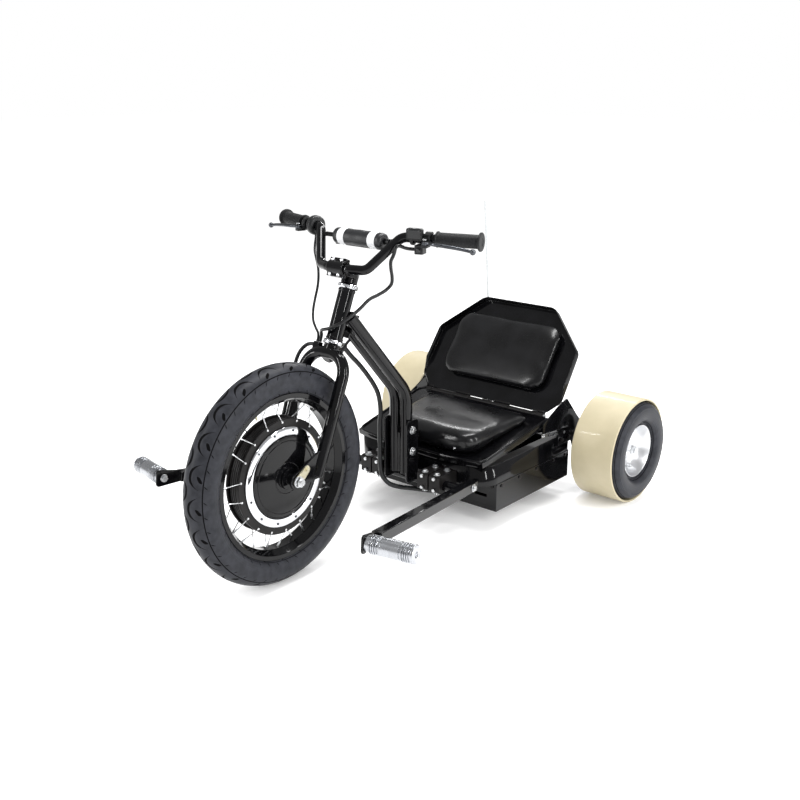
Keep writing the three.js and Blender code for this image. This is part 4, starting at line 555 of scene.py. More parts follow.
def flowing(points, steps=6):
    """A smooth curve through all its points."""
    knots = [Vector(point) for point in points]
    knots = [2 * knots[0] - knots[1], *knots, 2 * knots[-1] - knots[-2]]
    path = []
    for a, b, c, d in zip(knots, knots[1:], knots[2:], knots[3:]):
        for k in range(steps):
            t = k / steps
            path.append(0.5 * (2 * b + (c - a) * t + (2 * a - 5 * b + 4 * c - d) * t ** 2
                               + (3 * b - a - 3 * c + d) * t ** 3))
    return path + [knots[-2]]


def tube(bm, path, radius, sides=28):
    """A ring extruded along a path. radius is one number, or one for each point."""
    points = [Vector(point) for point in path]
    radii = radius if isinstance(radius, (list, tuple)) else [radius] * len(points)
    neighbours = zip(points[:1] + points, points[1:] + points[-1:])
    tangents = [(after - before).normalized() for before, after in neighbours]
    turn = Vector((0, 0, 1)).rotation_difference(tangents[0])
    places = []
    for point, tangent, previous, size in zip(points, tangents, tangents[:1] + tangents, radii):
        turn = previous.rotation_difference(tangent) @ turn
        scale = Matrix.Diagonal((size, size, size, 1))
        places.append(Matrix.Translation(point) @ turn.to_matrix().to_4x4() @ scale)
    ring = bmesh.ops.create_circle(bm, segments=sides, radius=1, matrix=places[0])["verts"]
    edges = list({edge for vert in ring for edge in vert.link_edges})
    bmesh.ops.contextual_create(bm, geom=edges)
    for before, after in zip(places, places[1:]):
        made = bmesh.ops.extrude_edge_only(bm, edges=edges)["geom"]
        verts = [item for item in made if isinstance(item, bmesh.types.BMVert)]
        edges = [item for item in made if isinstance(item, bmesh.types.BMEdge)]
        bmesh.ops.transform(bm, matrix=after @ before.inverted(), verts=verts)
    bmesh.ops.contextual_create(bm, geom=edges)


print("a bent path of three points has", len(bent([(0, 0, 0), (50, 0, 0), (50, 50, 0)], 20)), "stations")

# %% [markdown]
# ## Front wheel
# The tyre, the rim and the drum of the motor are all turned shapes, so each is an outline spun once round the axle.
# The spokes leave the drum's two flanges in pairs and screw into nipples in the rim.


# %% Tyre
def tyre_outline(half_width, radius, rise, sweep, squareness, bead, steps=16, wall=8):
    """The section of a tyre: round where squareness is 1, and squarer in the shoulders below it."""
    def ring(angle, depth):
        """A point of the section, so far round it and so deep in the wall."""
        sine, cosine = math.sin(angle), math.cos(angle)
        across = (half_width - depth) * math.copysign(abs(sine) ** squareness, sine)
        return across, radius - rise + (rise - depth) * math.copysign(abs(cosine) ** squareness, cosine)
    half_bead, bead_radius, bead_height = bead
    outside = [ring(math.radians((2 * k / steps - 1) * sweep), 0) for k in range(steps + 1)]
    inside = [ring(math.radians(90 - 180 * k / 8), wall) for k in range(9)]
    seat = [(half_bead, bead_radius + bead_height), (half_bead, bead_radius), (half_bead - wall, bead_radius)]
    return [(-x, r) for x, r in reversed(seat)] + outside + seat + inside


bm = bmesh.new()
spun(bm, tyre_outline(38.4, 255.8, 38.8, 124, 1, (25.4, 187.7, 4.6), steps=30), steps=120)
tyre = new_piece("front_tyre_tread", bm, front_rubber, "front_wheel", ["front_tyre"],
                 front_wheel_place, edge=0, angle=50)
print("front tyre faces:", len(tyre.data.polygons))


# %% Rim and valve
def both_sides(half):
    """An outline and its mirror image, joined."""
    return half + [(-x, r) for x, r in reversed(half)]


bm = bmesh.new()
spun(bm, both_sides([(14, 175), (18, 187.4), (26, 187.4), (26, 192), (28.6, 192), (28.6, 181), (25.6, 179),
                     (13.7, 170)]), steps=120)
new_piece("front_rim_hoop", bm, gloss, "front_wheel", ["front_rim"], front_wheel_place)
bm = bmesh.new()
VALVE_TURN = Matrix.Rotation(math.radians(21), 4, "X")
rod(bm, VALVE_TURN @ Vector((0, 0, 171)), VALVE_TURN @ Vector((0, 0, 160)), 4)
rod(bm, VALVE_TURN @ Vector((0, 0, 160.5)), VALVE_TURN @ Vector((0, 0, 152.5)), 3, end_radius=2.2)
new_piece("front_valve", bm, yellow_zinc, "front_wheel", place=front_wheel_place, edge=0.4)
print("rim and valve made")

# %% Spokes
SPOKES_PER_SIDE = 18
FLANGE_FACE = 16.1
SPOKE_FOOT = 128
SPOKE_TIP = 169
for side, name in SIDES:
    bm = bmesh.new()
    flange = bmesh.new()
    spun(flange, [(x * side, r) for x, r in (
        (FLANGE_FACE, 104), (FLANGE_FACE, 133), (17, 134), (20.2, 134), (21.1, 133), (21.1, 104))], steps=96)
    new_piece(f"flange_{name}", flange, satin, "front_wheel", place=front_wheel_place, edge=0.3)
    nipples = bmesh.new()
    for k in range(SPOKES_PER_SIDE):
        start = 2 * math.pi * (k + (0 if side > 0 else 0.5)) / SPOKES_PER_SIDE
        end = start + math.radians(4 if k % 2 else -4)
        foot = Vector((side * 21.6, SPOKE_FOOT * math.sin(start), SPOKE_FOOT * math.cos(start)))
        tip = Vector((side * 5, SPOKE_TIP * math.sin(end), SPOKE_TIP * math.cos(end)))
        rod(bm, foot, tip, 1.3, 10)
        rod(bm, foot - Vector((side * 1.5, 0, 0)), foot + Vector((side * 1.0, 0, 0)), 2.6, 12)
        rod(nipples, tip.lerp(foot, 0.3), tip, 1.9, 12, 2.6)
    new_piece(f"spokes_{name}", bm, zinc, "front_wheel", [f"spoke_flange_{name}"],
              front_wheel_place, 0.4)
    new_piece(f"nipples_{name}", nipples, bright_aluminium, "front_wheel",
              place=front_wheel_place, edge=0)
print("spokes:", 2 * SPOKES_PER_SIDE)

# %% Motor drum and its covers
COVER = [(21.4, 90), (21.4, 95.2), (25.4, 95.6), (27.4, 94.4), (27.6, 92.6), (26.8, 92), (29.4, 76), (31, 60),
         (32.6, 42), (33.4, 32), (33.7, 25), (43, 25), (43, 13), (55, 13), (55, 7.6)]
bm = bmesh.new()
spun(bm, [(-15.8, 110), (-15.8, 128), (15.8, 128), (15.8, 110), (13.6, 110), (13.6, 7.6), (-13.6, 7.6), (-13.6, 110)])
for x in (-9, -3, 3, 9):
    spun(bm, [(x - 1.4, 127), (x - 1.2, 129.2), (x + 1.2, 129.2), (x + 1.4, 127)])
spun(bm, [(-x, r) for x, r in [(16, 104), *COVER, (16, 7.6)]], steps=96)
drum = new_piece("motor_drum", bm, satin, "front_wheel", ["hub_shell"], front_wheel_place, 0.7)
bm = bmesh.new()
spun(bm, [(16, 104), *COVER, (16, 7.6)], steps=96)
for radius, foot, top in ((36, 31.5, 34.1), (84, 26.5, 29.4)):
    spun(bm, [(foot, radius - 1.5), (top, radius - 1), (top, radius + 1), (foot, radius + 1.5)], steps=96)
lid = new_piece("motor_cover", bm, gloss, "front_wheel", ["hub_cover"], front_wheel_place, 0.8)
print("drum", len(drum.data.polygons), "faces, cover", len(lid.data.polygons))

# %% Bolted ring
for side, name, stands_for in ((1, "left", ["hub_ring"]), (-1, "right", [])):
    bm = bmesh.new()
    spun(bm, [(side * x, r) for x, r in (
        (21.4, 96.2), (21.4, 114.6), (23, 116), (24.4, 115.4), (25.6, 113), (26.4, 99.6), (25.8, 97))], steps=96)
    bolts = bmesh.new()
    for k in range(12):
        turn = Matrix.Rotation(2 * math.pi * (k + 0.5) / 12, 4, "X") @ on_side(side)
        rod(bolts, turn @ Vector((24, 0, 107)), turn @ Vector((27.4, 0, 107)), 3.2, 20, 2.7)
    new_piece(f"motor_ring_{name}", bm, chrome, "front_wheel", stands_for, front_wheel_place, 0.4)
    new_piece(f"ring_bolts_{name}", bolts, grey_aluminium, "front_wheel",
              place=front_wheel_place, edge=0.3)
print("two rings with twelve bolts each")

# %% [markdown]
# ## Fork and axle
# The fork is one bent tube under a short crown, with a flat lug welded to each leg for the axle. The axle's nuts,
# the washers and the torque arm that stops the motor from turning its own axle are all bare plated steel.

# %% Fork
AXLE_SPOT = (-70, -320.1)
LEG_X = 62
LEG_Y = -9.5
bm = bmesh.new()
legs = [(-LEG_X, LEG_Y, -302), (-LEG_X, LEG_Y, -26), (LEG_X, LEG_Y, -26), (LEG_X, LEG_Y, -302)]
tube(bm, bent(legs, 50, 14), 14, 36)
rod(bm, (0, 0, -6.3), (0, 0, -33), 20, 40)
rod(bm, (0, 0, -30), (0, 0, 170.5), 14.3, 36)
rod(bm, (0, -4, -33), (0, LEG_Y, -42), 18, 36, 12)
block(bm, -46, -28, -16.5, -2.5, -26, -6)
for side in (-1, 1):
    plate(bm, [(-2.5, -244), (-23.5, -244), (-82, -306), (-84, -326), (-70, -338.1), (-2.5, -304)],
          side * 59, side * 65, [4, 4, 10, 10, 10, 6], upwards=False)
    rod(bm, (side * 59, *AXLE_SPOT), (side * 65, *AXLE_SPOT), 20, 40)
    rod(bm, (side * LEG_X, LEG_Y, -300), (side * LEG_X, LEG_Y, -305), 14, 32, 9)
fork = new_piece("fork_tubes", bm, gloss, "steering", ["fork"], steering_place, 0.9)
print("fork faces:", len(fork.data.polygons))

# %% Axle, nuts and torque arm
AXLE_IN_FORK = steering_place @ Matrix.Translation((0, *AXLE_SPOT))
bm = bmesh.new()
rod(bm, (-80.4, 0, 0), (80.4, 0, 0), 6.9)
rod(bm, (-13, 0, 0), (13, 0, 0), 97, 72)
for side in (-1, 1):
    rod(bm, (side * 68.6, 0, 0), (side * 76, 0, 0), 12, 6)
    rod(bm, (side * 75.6, 0, 0), (side * 76.6, 0, 0), 9.6, 24, 8)
    rod(bm, (side * 66.8, 0, 0), (side * 68.7, 0, 0), 13.4)
    for k in range(4):
        rod(bm, (side * (77.1 + k), 0, 0), (side * (77.7 + k), 0, 0), 7.3, 24)
new_piece("front_axle_and_nuts", bm, zinc, "steering", ["front_axle"], AXLE_IN_FORK, 0.5)
bm = bmesh.new()
tip = Matrix.Rotation(math.radians(-28), 4, "X") @ Vector((0, 0, 34))
hull = rod(bm, (65.3, 0, 0), (68.3, 0, 0), 13) + rod(bm, (65.3, tip.y, tip.z), (68.3, tip.y, tip.z), 9)
bmesh.ops.delete(bm, geom=list({edge for vert in hull for edge in vert.link_edges}), context="EDGES_FACES")
made = bmesh.ops.convex_hull(bm, input=hull)
bmesh.ops.delete(bm, geom=made["geom_interior"], context="VERTS")
rod(bm, (68, tip.y, tip.z), (72, tip.y, tip.z), 5.4, 6)
rod(bm, (67.6, tip.y, tip.z), (69, tip.y, tip.z), 7, 24)
new_piece("torque_arm_plate", bm, yellow_zinc, "steering", ["torque_arm"], AXLE_IN_FORK, 0.5)
print("axle and torque arm made")

# %% [markdown]
# ## Headset and stem
# Two polished cups close the head tube. The stem clamps the fork's top and holds the bar between its body and a
# faceplate with four bolts.

# %% Headset
UPRIGHT = Matrix.Rotation(-math.pi / 2, 4, "Y")
CUP = [(-6, 14.9), (-6, 20.5), (-4.6, 22.6), (-2.2, 24.5), (-0.9, 24.5), (-0.4, 23.4), (0.4, 23.4), (0.9, 24.5),
       (2.2, 24.5), (4.6, 22.6), (6, 20.5), (6, 14.9)]
for name, height in (("lower", 0), ("upper", 132.2)):
    bm = bmesh.new()
    spun(bm, CUP)
    new_piece(f"headset_cup_{name}", bm, chrome, "chassis", [f"headset_{name}"],
              steering_place @ Matrix.Translation((0, 0, height)) @ UPRIGHT, 0.3)
print("two headset cups")

# %% Stem
STEM_REACH = -46.8
STEM_RISE = 164.7
bm = bmesh.new()
rod(bm, (0, 0, 138.6), (0, 0, 174.5), 19, 40)
block(bm, -20, 20, -41, 0, 150.7, 178.7)
block(bm, -24, 24, -46.5, -38.8, 142.7, 186.7)
rod(bm, (-24, STEM_REACH, STEM_RISE), (24, STEM_REACH, STEM_RISE), 16.7, 40)
block(bm, -6, 6, 14, 24, 141, 172)
new_piece("stem_body", bm, gloss, "steering", ["stem"], steering_place, 2.2)
bm = bmesh.new()
block(bm, -24, 24, -54.8, -46.9, 142.7, 186.7)
rod(bm, (-23.6, STEM_REACH, STEM_RISE), (23.6, STEM_REACH, STEM_RISE), 17.2, 40)
new_piece("stem_faceplate_cast", bm, gloss, "steering", ["stem_faceplate"], steering_place, 1.8)
bm = bmesh.new()
for x in (-13, 13):
    for rise in (-17.5, 17.5):
        spot = Matrix.Translation((x, -55, STEM_RISE + rise)) @ Matrix.Rotation(math.pi / 2, 4, "X")
        socket = bmesh.ops.create_cone(bm, cap_ends=True, segments=24, radius1=4.4, radius2=4.4, depth=5,
                                       matrix=spot)["verts"]
        heads = {face for vert in socket for face in vert.link_faces if face.calc_center_median().y < -57.4}
        bmesh.ops.inset_region(bm, faces=list(heads), thickness=1.7)
        bmesh.ops.translate(bm, vec=(0, 2.4, 0), verts=[vert for face in heads for vert in face.verts])
for rise in (148, 165):
    rod(bm, (-9, 19, rise), (9, 19, rise), 4, 24)
rod(bm, (0, 0, 178), (0, 0, 181.5), 6, 24)
new_piece("stem_bolts", bm, bright_aluminium, "steering", place=steering_place, edge=0.5)
print("stem, faceplate and its bolts")

# %% [markdown]
# ## Handlebar
# The bar is one tube with four bends and a thin crossbar welded across it. A foam sleeve is strapped round the
# crossbar. The grips are rubber with moulded rings, and the right one turns for the throttle.

# %% Bar
flip = on_side(-1)
LOWER_BEND = Vector((70, -32, 170))
bar_half = [Vector((32, STEM_REACH, STEM_RISE)), LOWER_BEND, UPPER_BEND,
            UPPER_BEND + grip_along * (GRIP_LENGTH - 5.3)]
crossbar_end = UPPER_BEND.lerp(LOWER_BEND, 16 / 91)
bm = bmesh.new()
tube(bm, bent([flip @ point for point in reversed(bar_half)] + bar_half, 28, 12), 11.1, 36)
rod(bm, flip @ crossbar_end, crossbar_end, 5.5, 24)
for end in (crossbar_end, flip @ crossbar_end):
    middle = Vector((0, end.y, end.z))
    rod(bm, end.lerp(middle, 0.09), end.lerp(middle, 0.14), 8, 24, 5.7)
bar = new_piece("riser_bar", bm, gloss, "steering", ["handlebar"], steering_place, 0.5)
print("bar faces:", len(bar.data.polygons))

# %% Crossbar pad
PAD_HALF = 75
bm = bmesh.new()
pad_outline = [(PAD_HALF, 6), (PAD_HALF, 11), (PAD_HALF - 1.5, 15), (PAD_HALF - 5, 18)]
pad_outline += [(x, 19 + 0.35 * math.cos(x / 6)) for x in range(66, -67, -6)]
pad_outline += [(-x, r) for x, r in reversed(pad_outline[:4])]
spun(bm, pad_outline, steps=48)
block(bm, -70, 70, -1.2, 1.2, -20.2, -17)
pad = new_piece("crossbar_foam_pad", bm, cover, "steering", ["crossbar_pad"],
                steering_place @ Matrix.Translation((PAD_MIDDLE, crossbar_end.y, crossbar_end.z)), 1.0)
bm = bmesh.new()
for x in (93, 97):
    spun(bm, [(x - 1.6, 5.6), (x - 1.6, 7), (x + 1.6, 7), (x + 1.6, 5.6)], 32)
new_piece("crossbar_ties", bm, abs_plastic, "steering",
          place=steering_place @ Matrix.Translation((0, crossbar_end.y, crossbar_end.z)), edge=0.3)
print("pad with two bands")

# %% Grips
GRIP_START = 83
RIB = 3.4
collar = [(0, 11.5), (0, 17.2), (1, 18), (3, 18), (4, 17.2), (4.3, 15)]
grip_outline = [(GRIP_START + x, r) for x, r in collar]
place_along = GRIP_START + 6
while place_along + RIB < GRIP_LENGTH - 6:
    grip_outline += [(place_along, 14.6), (place_along + 0.5, 15.5), (place_along + RIB - 1.3, 15.5),
                     (place_along + RIB - 0.8, 14.6)]
    place_along += RIB
closed_end = [(5.2, 15), (5, 20.2), (4, 21), (1.2, 21), (0, 19.6), (0, 9), (1, 8), (1, 0), (4.6, 0), (4.6, 11.5)]
grip_outline += [(GRIP_LENGTH - x, r) for x, r in closed_end]
for side, name, body, node in ((1, "left", "steering", "left_grip"), (-1, "right", "throttle_grip", "twist_grip")):
    bm = bmesh.new()
    spun(bm, grip_outline, steps=48)
    new_piece(f"{name}_rubber_grip", bm, grip_rubber, body, [node], control_place(side), 0)
print("grip outline has", len(grip_outline), "points")

# %% Throttle, perches and levers
bm = bmesh.new()
spun(bm, [(17, 11.4), (17, 17), (18.4, 19.5), (22, 23), (24, 23.4), (31, 23.4), (33, 23), (36.6, 19.5), (38, 17),
          (38, 11.4)], steps=48)
rod(bm, (27.5, 12, -14), (27.5, 16, -25), 5, 24)
new_piece("throttle_case", bm, abs_plastic, "steering", ["throttle_housing"],
          control_place(-1), 0.6)
LEVER_HEIGHT = -6.2
for side, name in SIDES:
    bm = bmesh.new()
    spun(bm, [(58, 11.4), (58, 15.6), (59, 16), (71, 16), (72, 15.6), (72, 11.4)], steps=48)
    block(bm, 58, 72, -33, -11.8, -16, -10)
    block(bm, 58, 72, -22, -8, -15, -3)
    rod(bm, (65, -28, -13), (65, -28, 1.9), 2.9, 24)
    new_piece(f"{name}_perch_cast", bm, abs_plastic, "steering", [f"{name}_lever_perch"],
              control_place(side), 1.4)
    bm = bmesh.new()
    rod(bm, (65, -28, 1.4), (65, -28, 3.2), 4.6, 24)
    rod(bm, (62, 12, -9), (62, 17.4, -9), 3.4, 24)
    new_piece(f"{name}_perch_screws", bm, zinc, "steering", place=control_place(side), edge=0.4)
    bm = bmesh.new()
    rod(bm, (65, -28, -9.6), (65, -28, -2.8), 7, 32)
    blade = flowing([(68, -28, LEVER_HEIGHT), (78, -30.5, LEVER_HEIGHT), (89, -37, LEVER_HEIGHT), (110, -40, -7.2),
                     (135, -41.5, -9.2), (160, -42.5, -12), (178, -45, -14.8)], 5)
    sizes = [3.5 + 0.5 * math.sin(math.pi * k / (len(blade) - 1)) for k in range(len(blade))]
    tube(bm, blade, sizes, 24)
    ball = Matrix.Translation((181, -45, -15.2))
    bmesh.ops.create_uvsphere(bm, u_segments=24, v_segments=14, radius=6.6, matrix=ball)
    new_piece(f"{name}_lever_blade", bm, grey_aluminium, f"{name}_lever", [f"{name}_brake_lever"],
              control_place(side), 0.5)
print("perches, levers and throttle made")

# %% Display and switches
bm = bmesh.new()
plate(bm, [(19, -2.5), (57, -2.5), (57, 24.5), (19, 24.5)], 0, 12, 5)
face = Matrix.Translation((0, -12.4, 0)) @ Matrix.Rotation(math.pi / 2, 4, "X")
bmesh.ops.transform(bm, matrix=face, verts=bm.verts)
spun(bm, [(23, 11.4), (23, 16), (31, 16), (31, 11.4)], steps=48)
new_piece("display_case", bm, abs_plastic, "steering", ["display"], control_place(1), 1.6)
bm = bmesh.new()
block(bm, 24, 52, -12.5, -12.0, 12.5, 22)
block(bm, 23, 53, -24.8, -24.3, 2, 20)
new_piece("display_window", bm, screen_glass, "steering", place=control_place(1), edge=0.2)
bm = bmesh.new()
block(bm, 34, 54, -12, 12, -34.6, -14)
block(bm, 39, 49, -9, 9, -17.4, -11.6)
rod(bm, (44, -11, -25), (44, -14, -25), 6.4, 32)
new_piece("switch_case", bm, abs_plastic, "steering", ["switch_cluster"], control_place(1), 1.6)
bm = bmesh.new()
rod(bm, (44, -13.6, -25), (44, -16.8, -25), 4.4, 32)
new_piece("switch_button", bm, screen_glass, "steering", place=control_place(1), edge=0.8)
print("display, switches and a button")

# %% [markdown]
# ## Neck and front of the frame
# Two tubes come down side by side from the head tube, bend and stand in a receiver of two plates, where four
# large silver bolts hold them. The receiver is welded to a cross tube that carries the peg arms and is clamped to
# the base.


# %% Neck
def head_point(along):
    """A point on the steering axis, so far up from the lower cup."""
    return HEAD + Vector((0, math.sin(HEAD_TILT), math.cos(HEAD_TILT))) * along


NECK_BOTTOM = 139.3
joint = head_point(71)
bm = bmesh.new()
rod(bm, head_point(6.3), head_point(125.9), 19.2, 40)
for height in (9.3, 122.9):
    rod(bm, head_point(height - 2.8), head_point(height + 2.8), 20.4, 40)
corner = Vector((0, 12, NECK_BOTTOM + 212))
start = Vector((0, joint.y, joint.z)) - (joint - corner).normalized() * 12
for x in (-16.5, 16.5):
    shift = Vector((x, 0, 0))
    tube(bm, bent([start + shift, corner + shift, Vector((x, 12, NECK_BOTTOM))], 80, 14), 16, 36)
plate(bm, [(4, NECK_BOTTOM), (20, NECK_BOTTOM), (20, NECK_BOTTOM + 106), (4, NECK_BOTTOM + 106)], -16.5, 16.5,
      upwards=False)
gusset = Matrix.Translation((0, joint.y + 30, joint.z - 38)) @ Matrix.Rotation(math.radians(-40), 4, "X")
bmesh.ops.create_cube(bm, size=1, matrix=gusset @ Matrix.Diagonal((22, 5, 60, 1)))
neck = new_piece("neck_tubes", bm, gloss, "chassis", ["neck_frame"], edge=0.9)
bm = bmesh.new()
rod(bm, (-42, -148, 490.4), (-42, -151.4, 493.6), 9, 32)
rod(bm, (-41, -149.4, 492), (-18, -140, 522), 3.6, 24)
new_piece("harness_clip", bm, abs_plastic, "chassis", edge=0.5)
print("neck faces:", len(neck.data.polygons))

# %% Receiver and cross tube
bm = bmesh.new()
rod(bm, (-186, 30, 126), (186, 30, 126), 13, 40)
for side in (-1, 1):
    plate(bm, [(-10, 119), (35, 119), (35, 283), (-10, 283)], side * 33.3, side * 38, 10, 8, upwards=False)
    lug = bmesh.new()
    block(lug, -17.8, -12.8, -22, 22, -30, 12.5)
    bmesh.ops.bevel(lug, geom=[edge for edge in lug.edges if abs((edge.verts[0].co - edge.verts[1].co).x) > 1],
                    offset=7, offset_type="OFFSET", affect="EDGES", segments=6, profile=0.5, material=-1)
    bmesh.ops.transform(lug, matrix=arm_place(side), verts=lug.verts)
    mesh = bpy.data.meshes.new("lug")
    lug.to_mesh(mesh)
    lug.free()
    bm.from_mesh(mesh)
    bpy.data.meshes.remove(mesh)
new_piece("cross_tube_and_receiver", bm, gloss, "chassis", ["front_cross_tube"], edge=0.9)
NECK_BOLT_HEIGHTS = (201, 257)
bm = bmesh.new()
for height in NECK_BOLT_HEIGHTS:
    for side in (-1, 1):
        for inner, outer, *form in ((38.1, 39.6, 10.5), (39.4, 44.4, 8.4, 6), (44, 44.8, 6.4, 24, 5.4)):
            rod(bm, (side * inner, 12, height), (side * outer, 12, height), *form)
new_piece("neck_bolts", bm, zinc, "chassis", edge=0.6)
print("receiver and four bolts")

# %% [markdown]
# ### Peg arms
# The arms are square tube, with a plate at the end that a turned aluminium peg is bolted to. The peg is one spun
# outline with a group of four ridges near each end, where the foot needs hold.


# %% Peg arms and foot pegs
def ridges(start):
    """Four ridges of a peg's outline."""
    ridge = ((0, 18), (0.8, 21), (3.2, 21), (4, 18))
    return [(start + k * 5.2 + x, radius) for k in range(4) for x, radius in ridge]


for side, name in SIDES:
    reach = ARM_REACH[side]
    bm = bmesh.new()
    block(bm, -12.5, 12.5, 40 - reach, 25, -12.5, 12.5)
    plate(bm, [(-reach - 20, -22), (60 - reach, -12.5), (60 - reach, 12.5), (-reach - 20, 22)], -2.5, 2.5,
          10, upwards=False)
    new_piece(f"peg_arm_tube_{name}", bm, gloss, "chassis", [f"peg_arm_{name}"], arm_place(side), 1.6)
    bm = bmesh.new()
    for inner, outer, y, *form in ((-2.4, -8.6, -reach, 7.2, 6), (-2.4, -3.8, -reach, 9.5), (12.6, 18.4, 0, 7.1, 6),
                                   (12.4, 13.8, 0, 10), (-17.6, -21, 0, 6.6, 6)):
        rod(bm, (inner, y, 0), (outer, y, 0), *form)
    new_piece(f"arm_bolts_{name}", bm, zinc, "chassis", place=arm_place(side), edge=0.5)
    bm = bmesh.new()
    outline = [(2.8, 0), (2.8, 17), (4, 18), (12, 18), *ridges(14), (38, 18), (39.2, 20.6), (84, 20.6), (85.2, 18),
               *ridges(88), (111, 18), (112, 21), (115.6, 21), (116.8, 19.8), (116.8, 7), (114, 6), (114, 0)]
    spun(bm, outline, steps=48)
    new_piece(f"turned_peg_{name}", bm, aluminium, "chassis", [f"foot_peg_{name}"],
              arm_place(side) @ Matrix.Translation((0, -reach, 0)), 0.4)
print("arms and pegs made")

# %% Clamp bolts
CLAMPS = (-114, -76, 76, 114)
bm = bmesh.new()
for x in CLAMPS:
    for y in (17, 58):
        rod(bm, (x, y, 154.6), (x, y, 156.2), 9)
        rod(bm, (x, y, 156), (x, y, 161), 6.6, 6)
        rod(bm, (x, y, 109.4), (x, y, 103.6), 6.6, 6)
    for z in (147, 117):
        rod(bm, (x, 5.2, z), (x, 0.4, z), 4.4, 24)
new_piece("clamp_bolts", bm, zinc, "chassis", edge=0.5)
print("clamp bolts made")

# %% [markdown]
# ## Base, axle and rear wheels
# The base is a pressed tub with round front corners, over a flat sheet box for the battery. The rear tyres hide
# under sleeves of cream plastic pipe, which have no grip and let the tail slide.

# %% Base tub
TUB_HALF = 218
TUB_FRONT = 75
TUB_BACK = 467
TUB_TOP = 174
BOX_FRONT = 128


def open_face(bm, height, below=False):
    """Takes away the face at a height, or the one under it."""
    faces = [face for face in bm.faces if (face.calc_center_median().z < height) == below]
    bmesh.ops.delete(bm, geom=faces, context="FACES")


bm = bmesh.new()
plate(bm, [(-TUB_HALF, TUB_FRONT), (TUB_HALF, TUB_FRONT), (TUB_HALF, TUB_BACK), (-TUB_HALF, TUB_BACK)], 122, TUB_TOP,
      [60, 60, 6, 6], 16)
open_face(bm, TUB_TOP - 0.1)
tub = new_piece("pressed_tub", bm, gloss, "chassis", ["base_tub"], edge=0)
thicken(tub)
print("tub made")

# %% Box details
bm = bmesh.new()
for x in (-200, -120, -40, 60, 130, 204):
    rod(bm, (x, BOX_FRONT - 0.1, 112), (x, BOX_FRONT - 2.4, 112), 4.2, 24)
for y in (150, 230, 310, 390, 450):
    for side in (-1, 1):
        rod(bm, (side * TUB_HALF, y, 112), (side * (TUB_HALF + 2.2), y, 112), 4.2, 24)
new_piece("box_screws", bm, satin, "chassis", edge=0.4)
bm = bmesh.new()
for side in (-1, 1):
    block(bm, side * 217.9, side * 219.2, 129, 466, 117.5, 121.6)
block(bm, -217, 217, 126.9, 128.1, 117.5, 121.6)
block(bm, -217, 217, 466.9, 468.1, 117.5, 121.6)
new_piece("box_lid_flange", bm, gloss, "chassis", edge=0.4)
bm = bmesh.new()
spun(bm, [(-4, 6.2), (-4, 11), (0, 12.5), (3, 12.5), (3, 6.2)], 40)
new_piece("cable_gland", bm, abs_plastic, "chassis",
          place=Matrix.Translation((118, 127, 84)) @ Matrix.Rotation(math.pi / 2, 4, "Z"), edge=0.5)
print("box details made")

# %% [markdown]
# ### Rear wheels
# Each rear wheel is a small pneumatic tyre on a dished rim, with the sleeve pushed over the tread. All three are
# turned shapes. The bowl of the rim is spun thin from the bead down to the hub, as a pressed rim is.

# %% Rear wheels
RIM_BOWL = [(56, 66.4), (50, 63), (42, 59.6), (33, 55), (25, 48.6), (19.5, 40), (17, 31), (17.6, 23), (22, 17.6),
            (30, 14.6), (40, 13.4), (43, 12.8)]
RIM = [(-61, 71), (-58.6, 71.6), (-55, 69), (-49, 60.6), (40, 61.2), (55, 69.4), (58.6, 71.6), (61, 71), (61, 69.4),
       *RIM_BOWL, (43, 10.6), (-40, 10.6), (-40, 22), (2, 22), (2, 55), (-51, 55.6), (-57, 64), (-61, 68.6)]
for side, name in SIDES:
    place = Matrix.Translation((side * REAR_AXLE.x, REAR_AXLE.y, REAR_AXLE.z)) @ on_side(side)
    body = f"rear_{name}_wheel"
    bm = bmesh.new()
    spun(bm, tyre_outline(75, 137, 32, 135, 0.6, (56.6, 71.4, 6), steps=30), steps=96)
    for radius, x in ((118, 73), (92, 69)):
        spun(bm, [(x - 2, radius - 2), (x + 1.4, radius - 1), (x + 1.4, radius + 1), (x - 2, radius + 2)], 96)
    new_piece(f"rear_tyre_{name}_wall", bm, rear_rubber, body, [f"rear_tyre_{name}"], place, 0, 50)
    bm = bmesh.new()
    spun(bm, both_sides([(61, 137.3), (61, 140.7), (59.4, 142.4)]), steps=128)
    new_piece(f"sleeve_pipe_{name}", bm, polyethylene, body, [f"rear_sleeve_{name}"], place, 0.8)
    bm = bmesh.new()
    spun(bm, RIM, steps=96)
    new_piece(f"rear_rim_{name}_dish", bm, bright_aluminium, body, [f"rear_rim_{name}"], place, 0.6)
    bm = bmesh.new()
    rod(bm, (30, 0, -50), (44, 0, -47), 3.4, 24)
    new_piece(f"rear_rim_bolts_{name}", bm, zinc, body, place=place, edge=0.5)
bm = bmesh.new()
rod(bm, (-391, 0, 0), (391, 0, 0), 9.9)
for side in (-1, 1):
    for inner, outer, *form in ((224.6, 293.7, 15), (377.3, 379.3, 13), (379, 386.3, 11, 6), (386, 391.4, 7, 24)):
        rod(bm, (side * inner, 0, 0), (side * outer, 0, 0), *form)
new_piece("rear_axle_bar", bm, zinc, "chassis", ["rear_axle"],
          Matrix.Translation((0, REAR_AXLE.y, REAR_AXLE.z)), 0.6)
print("rear wheels and axle made")

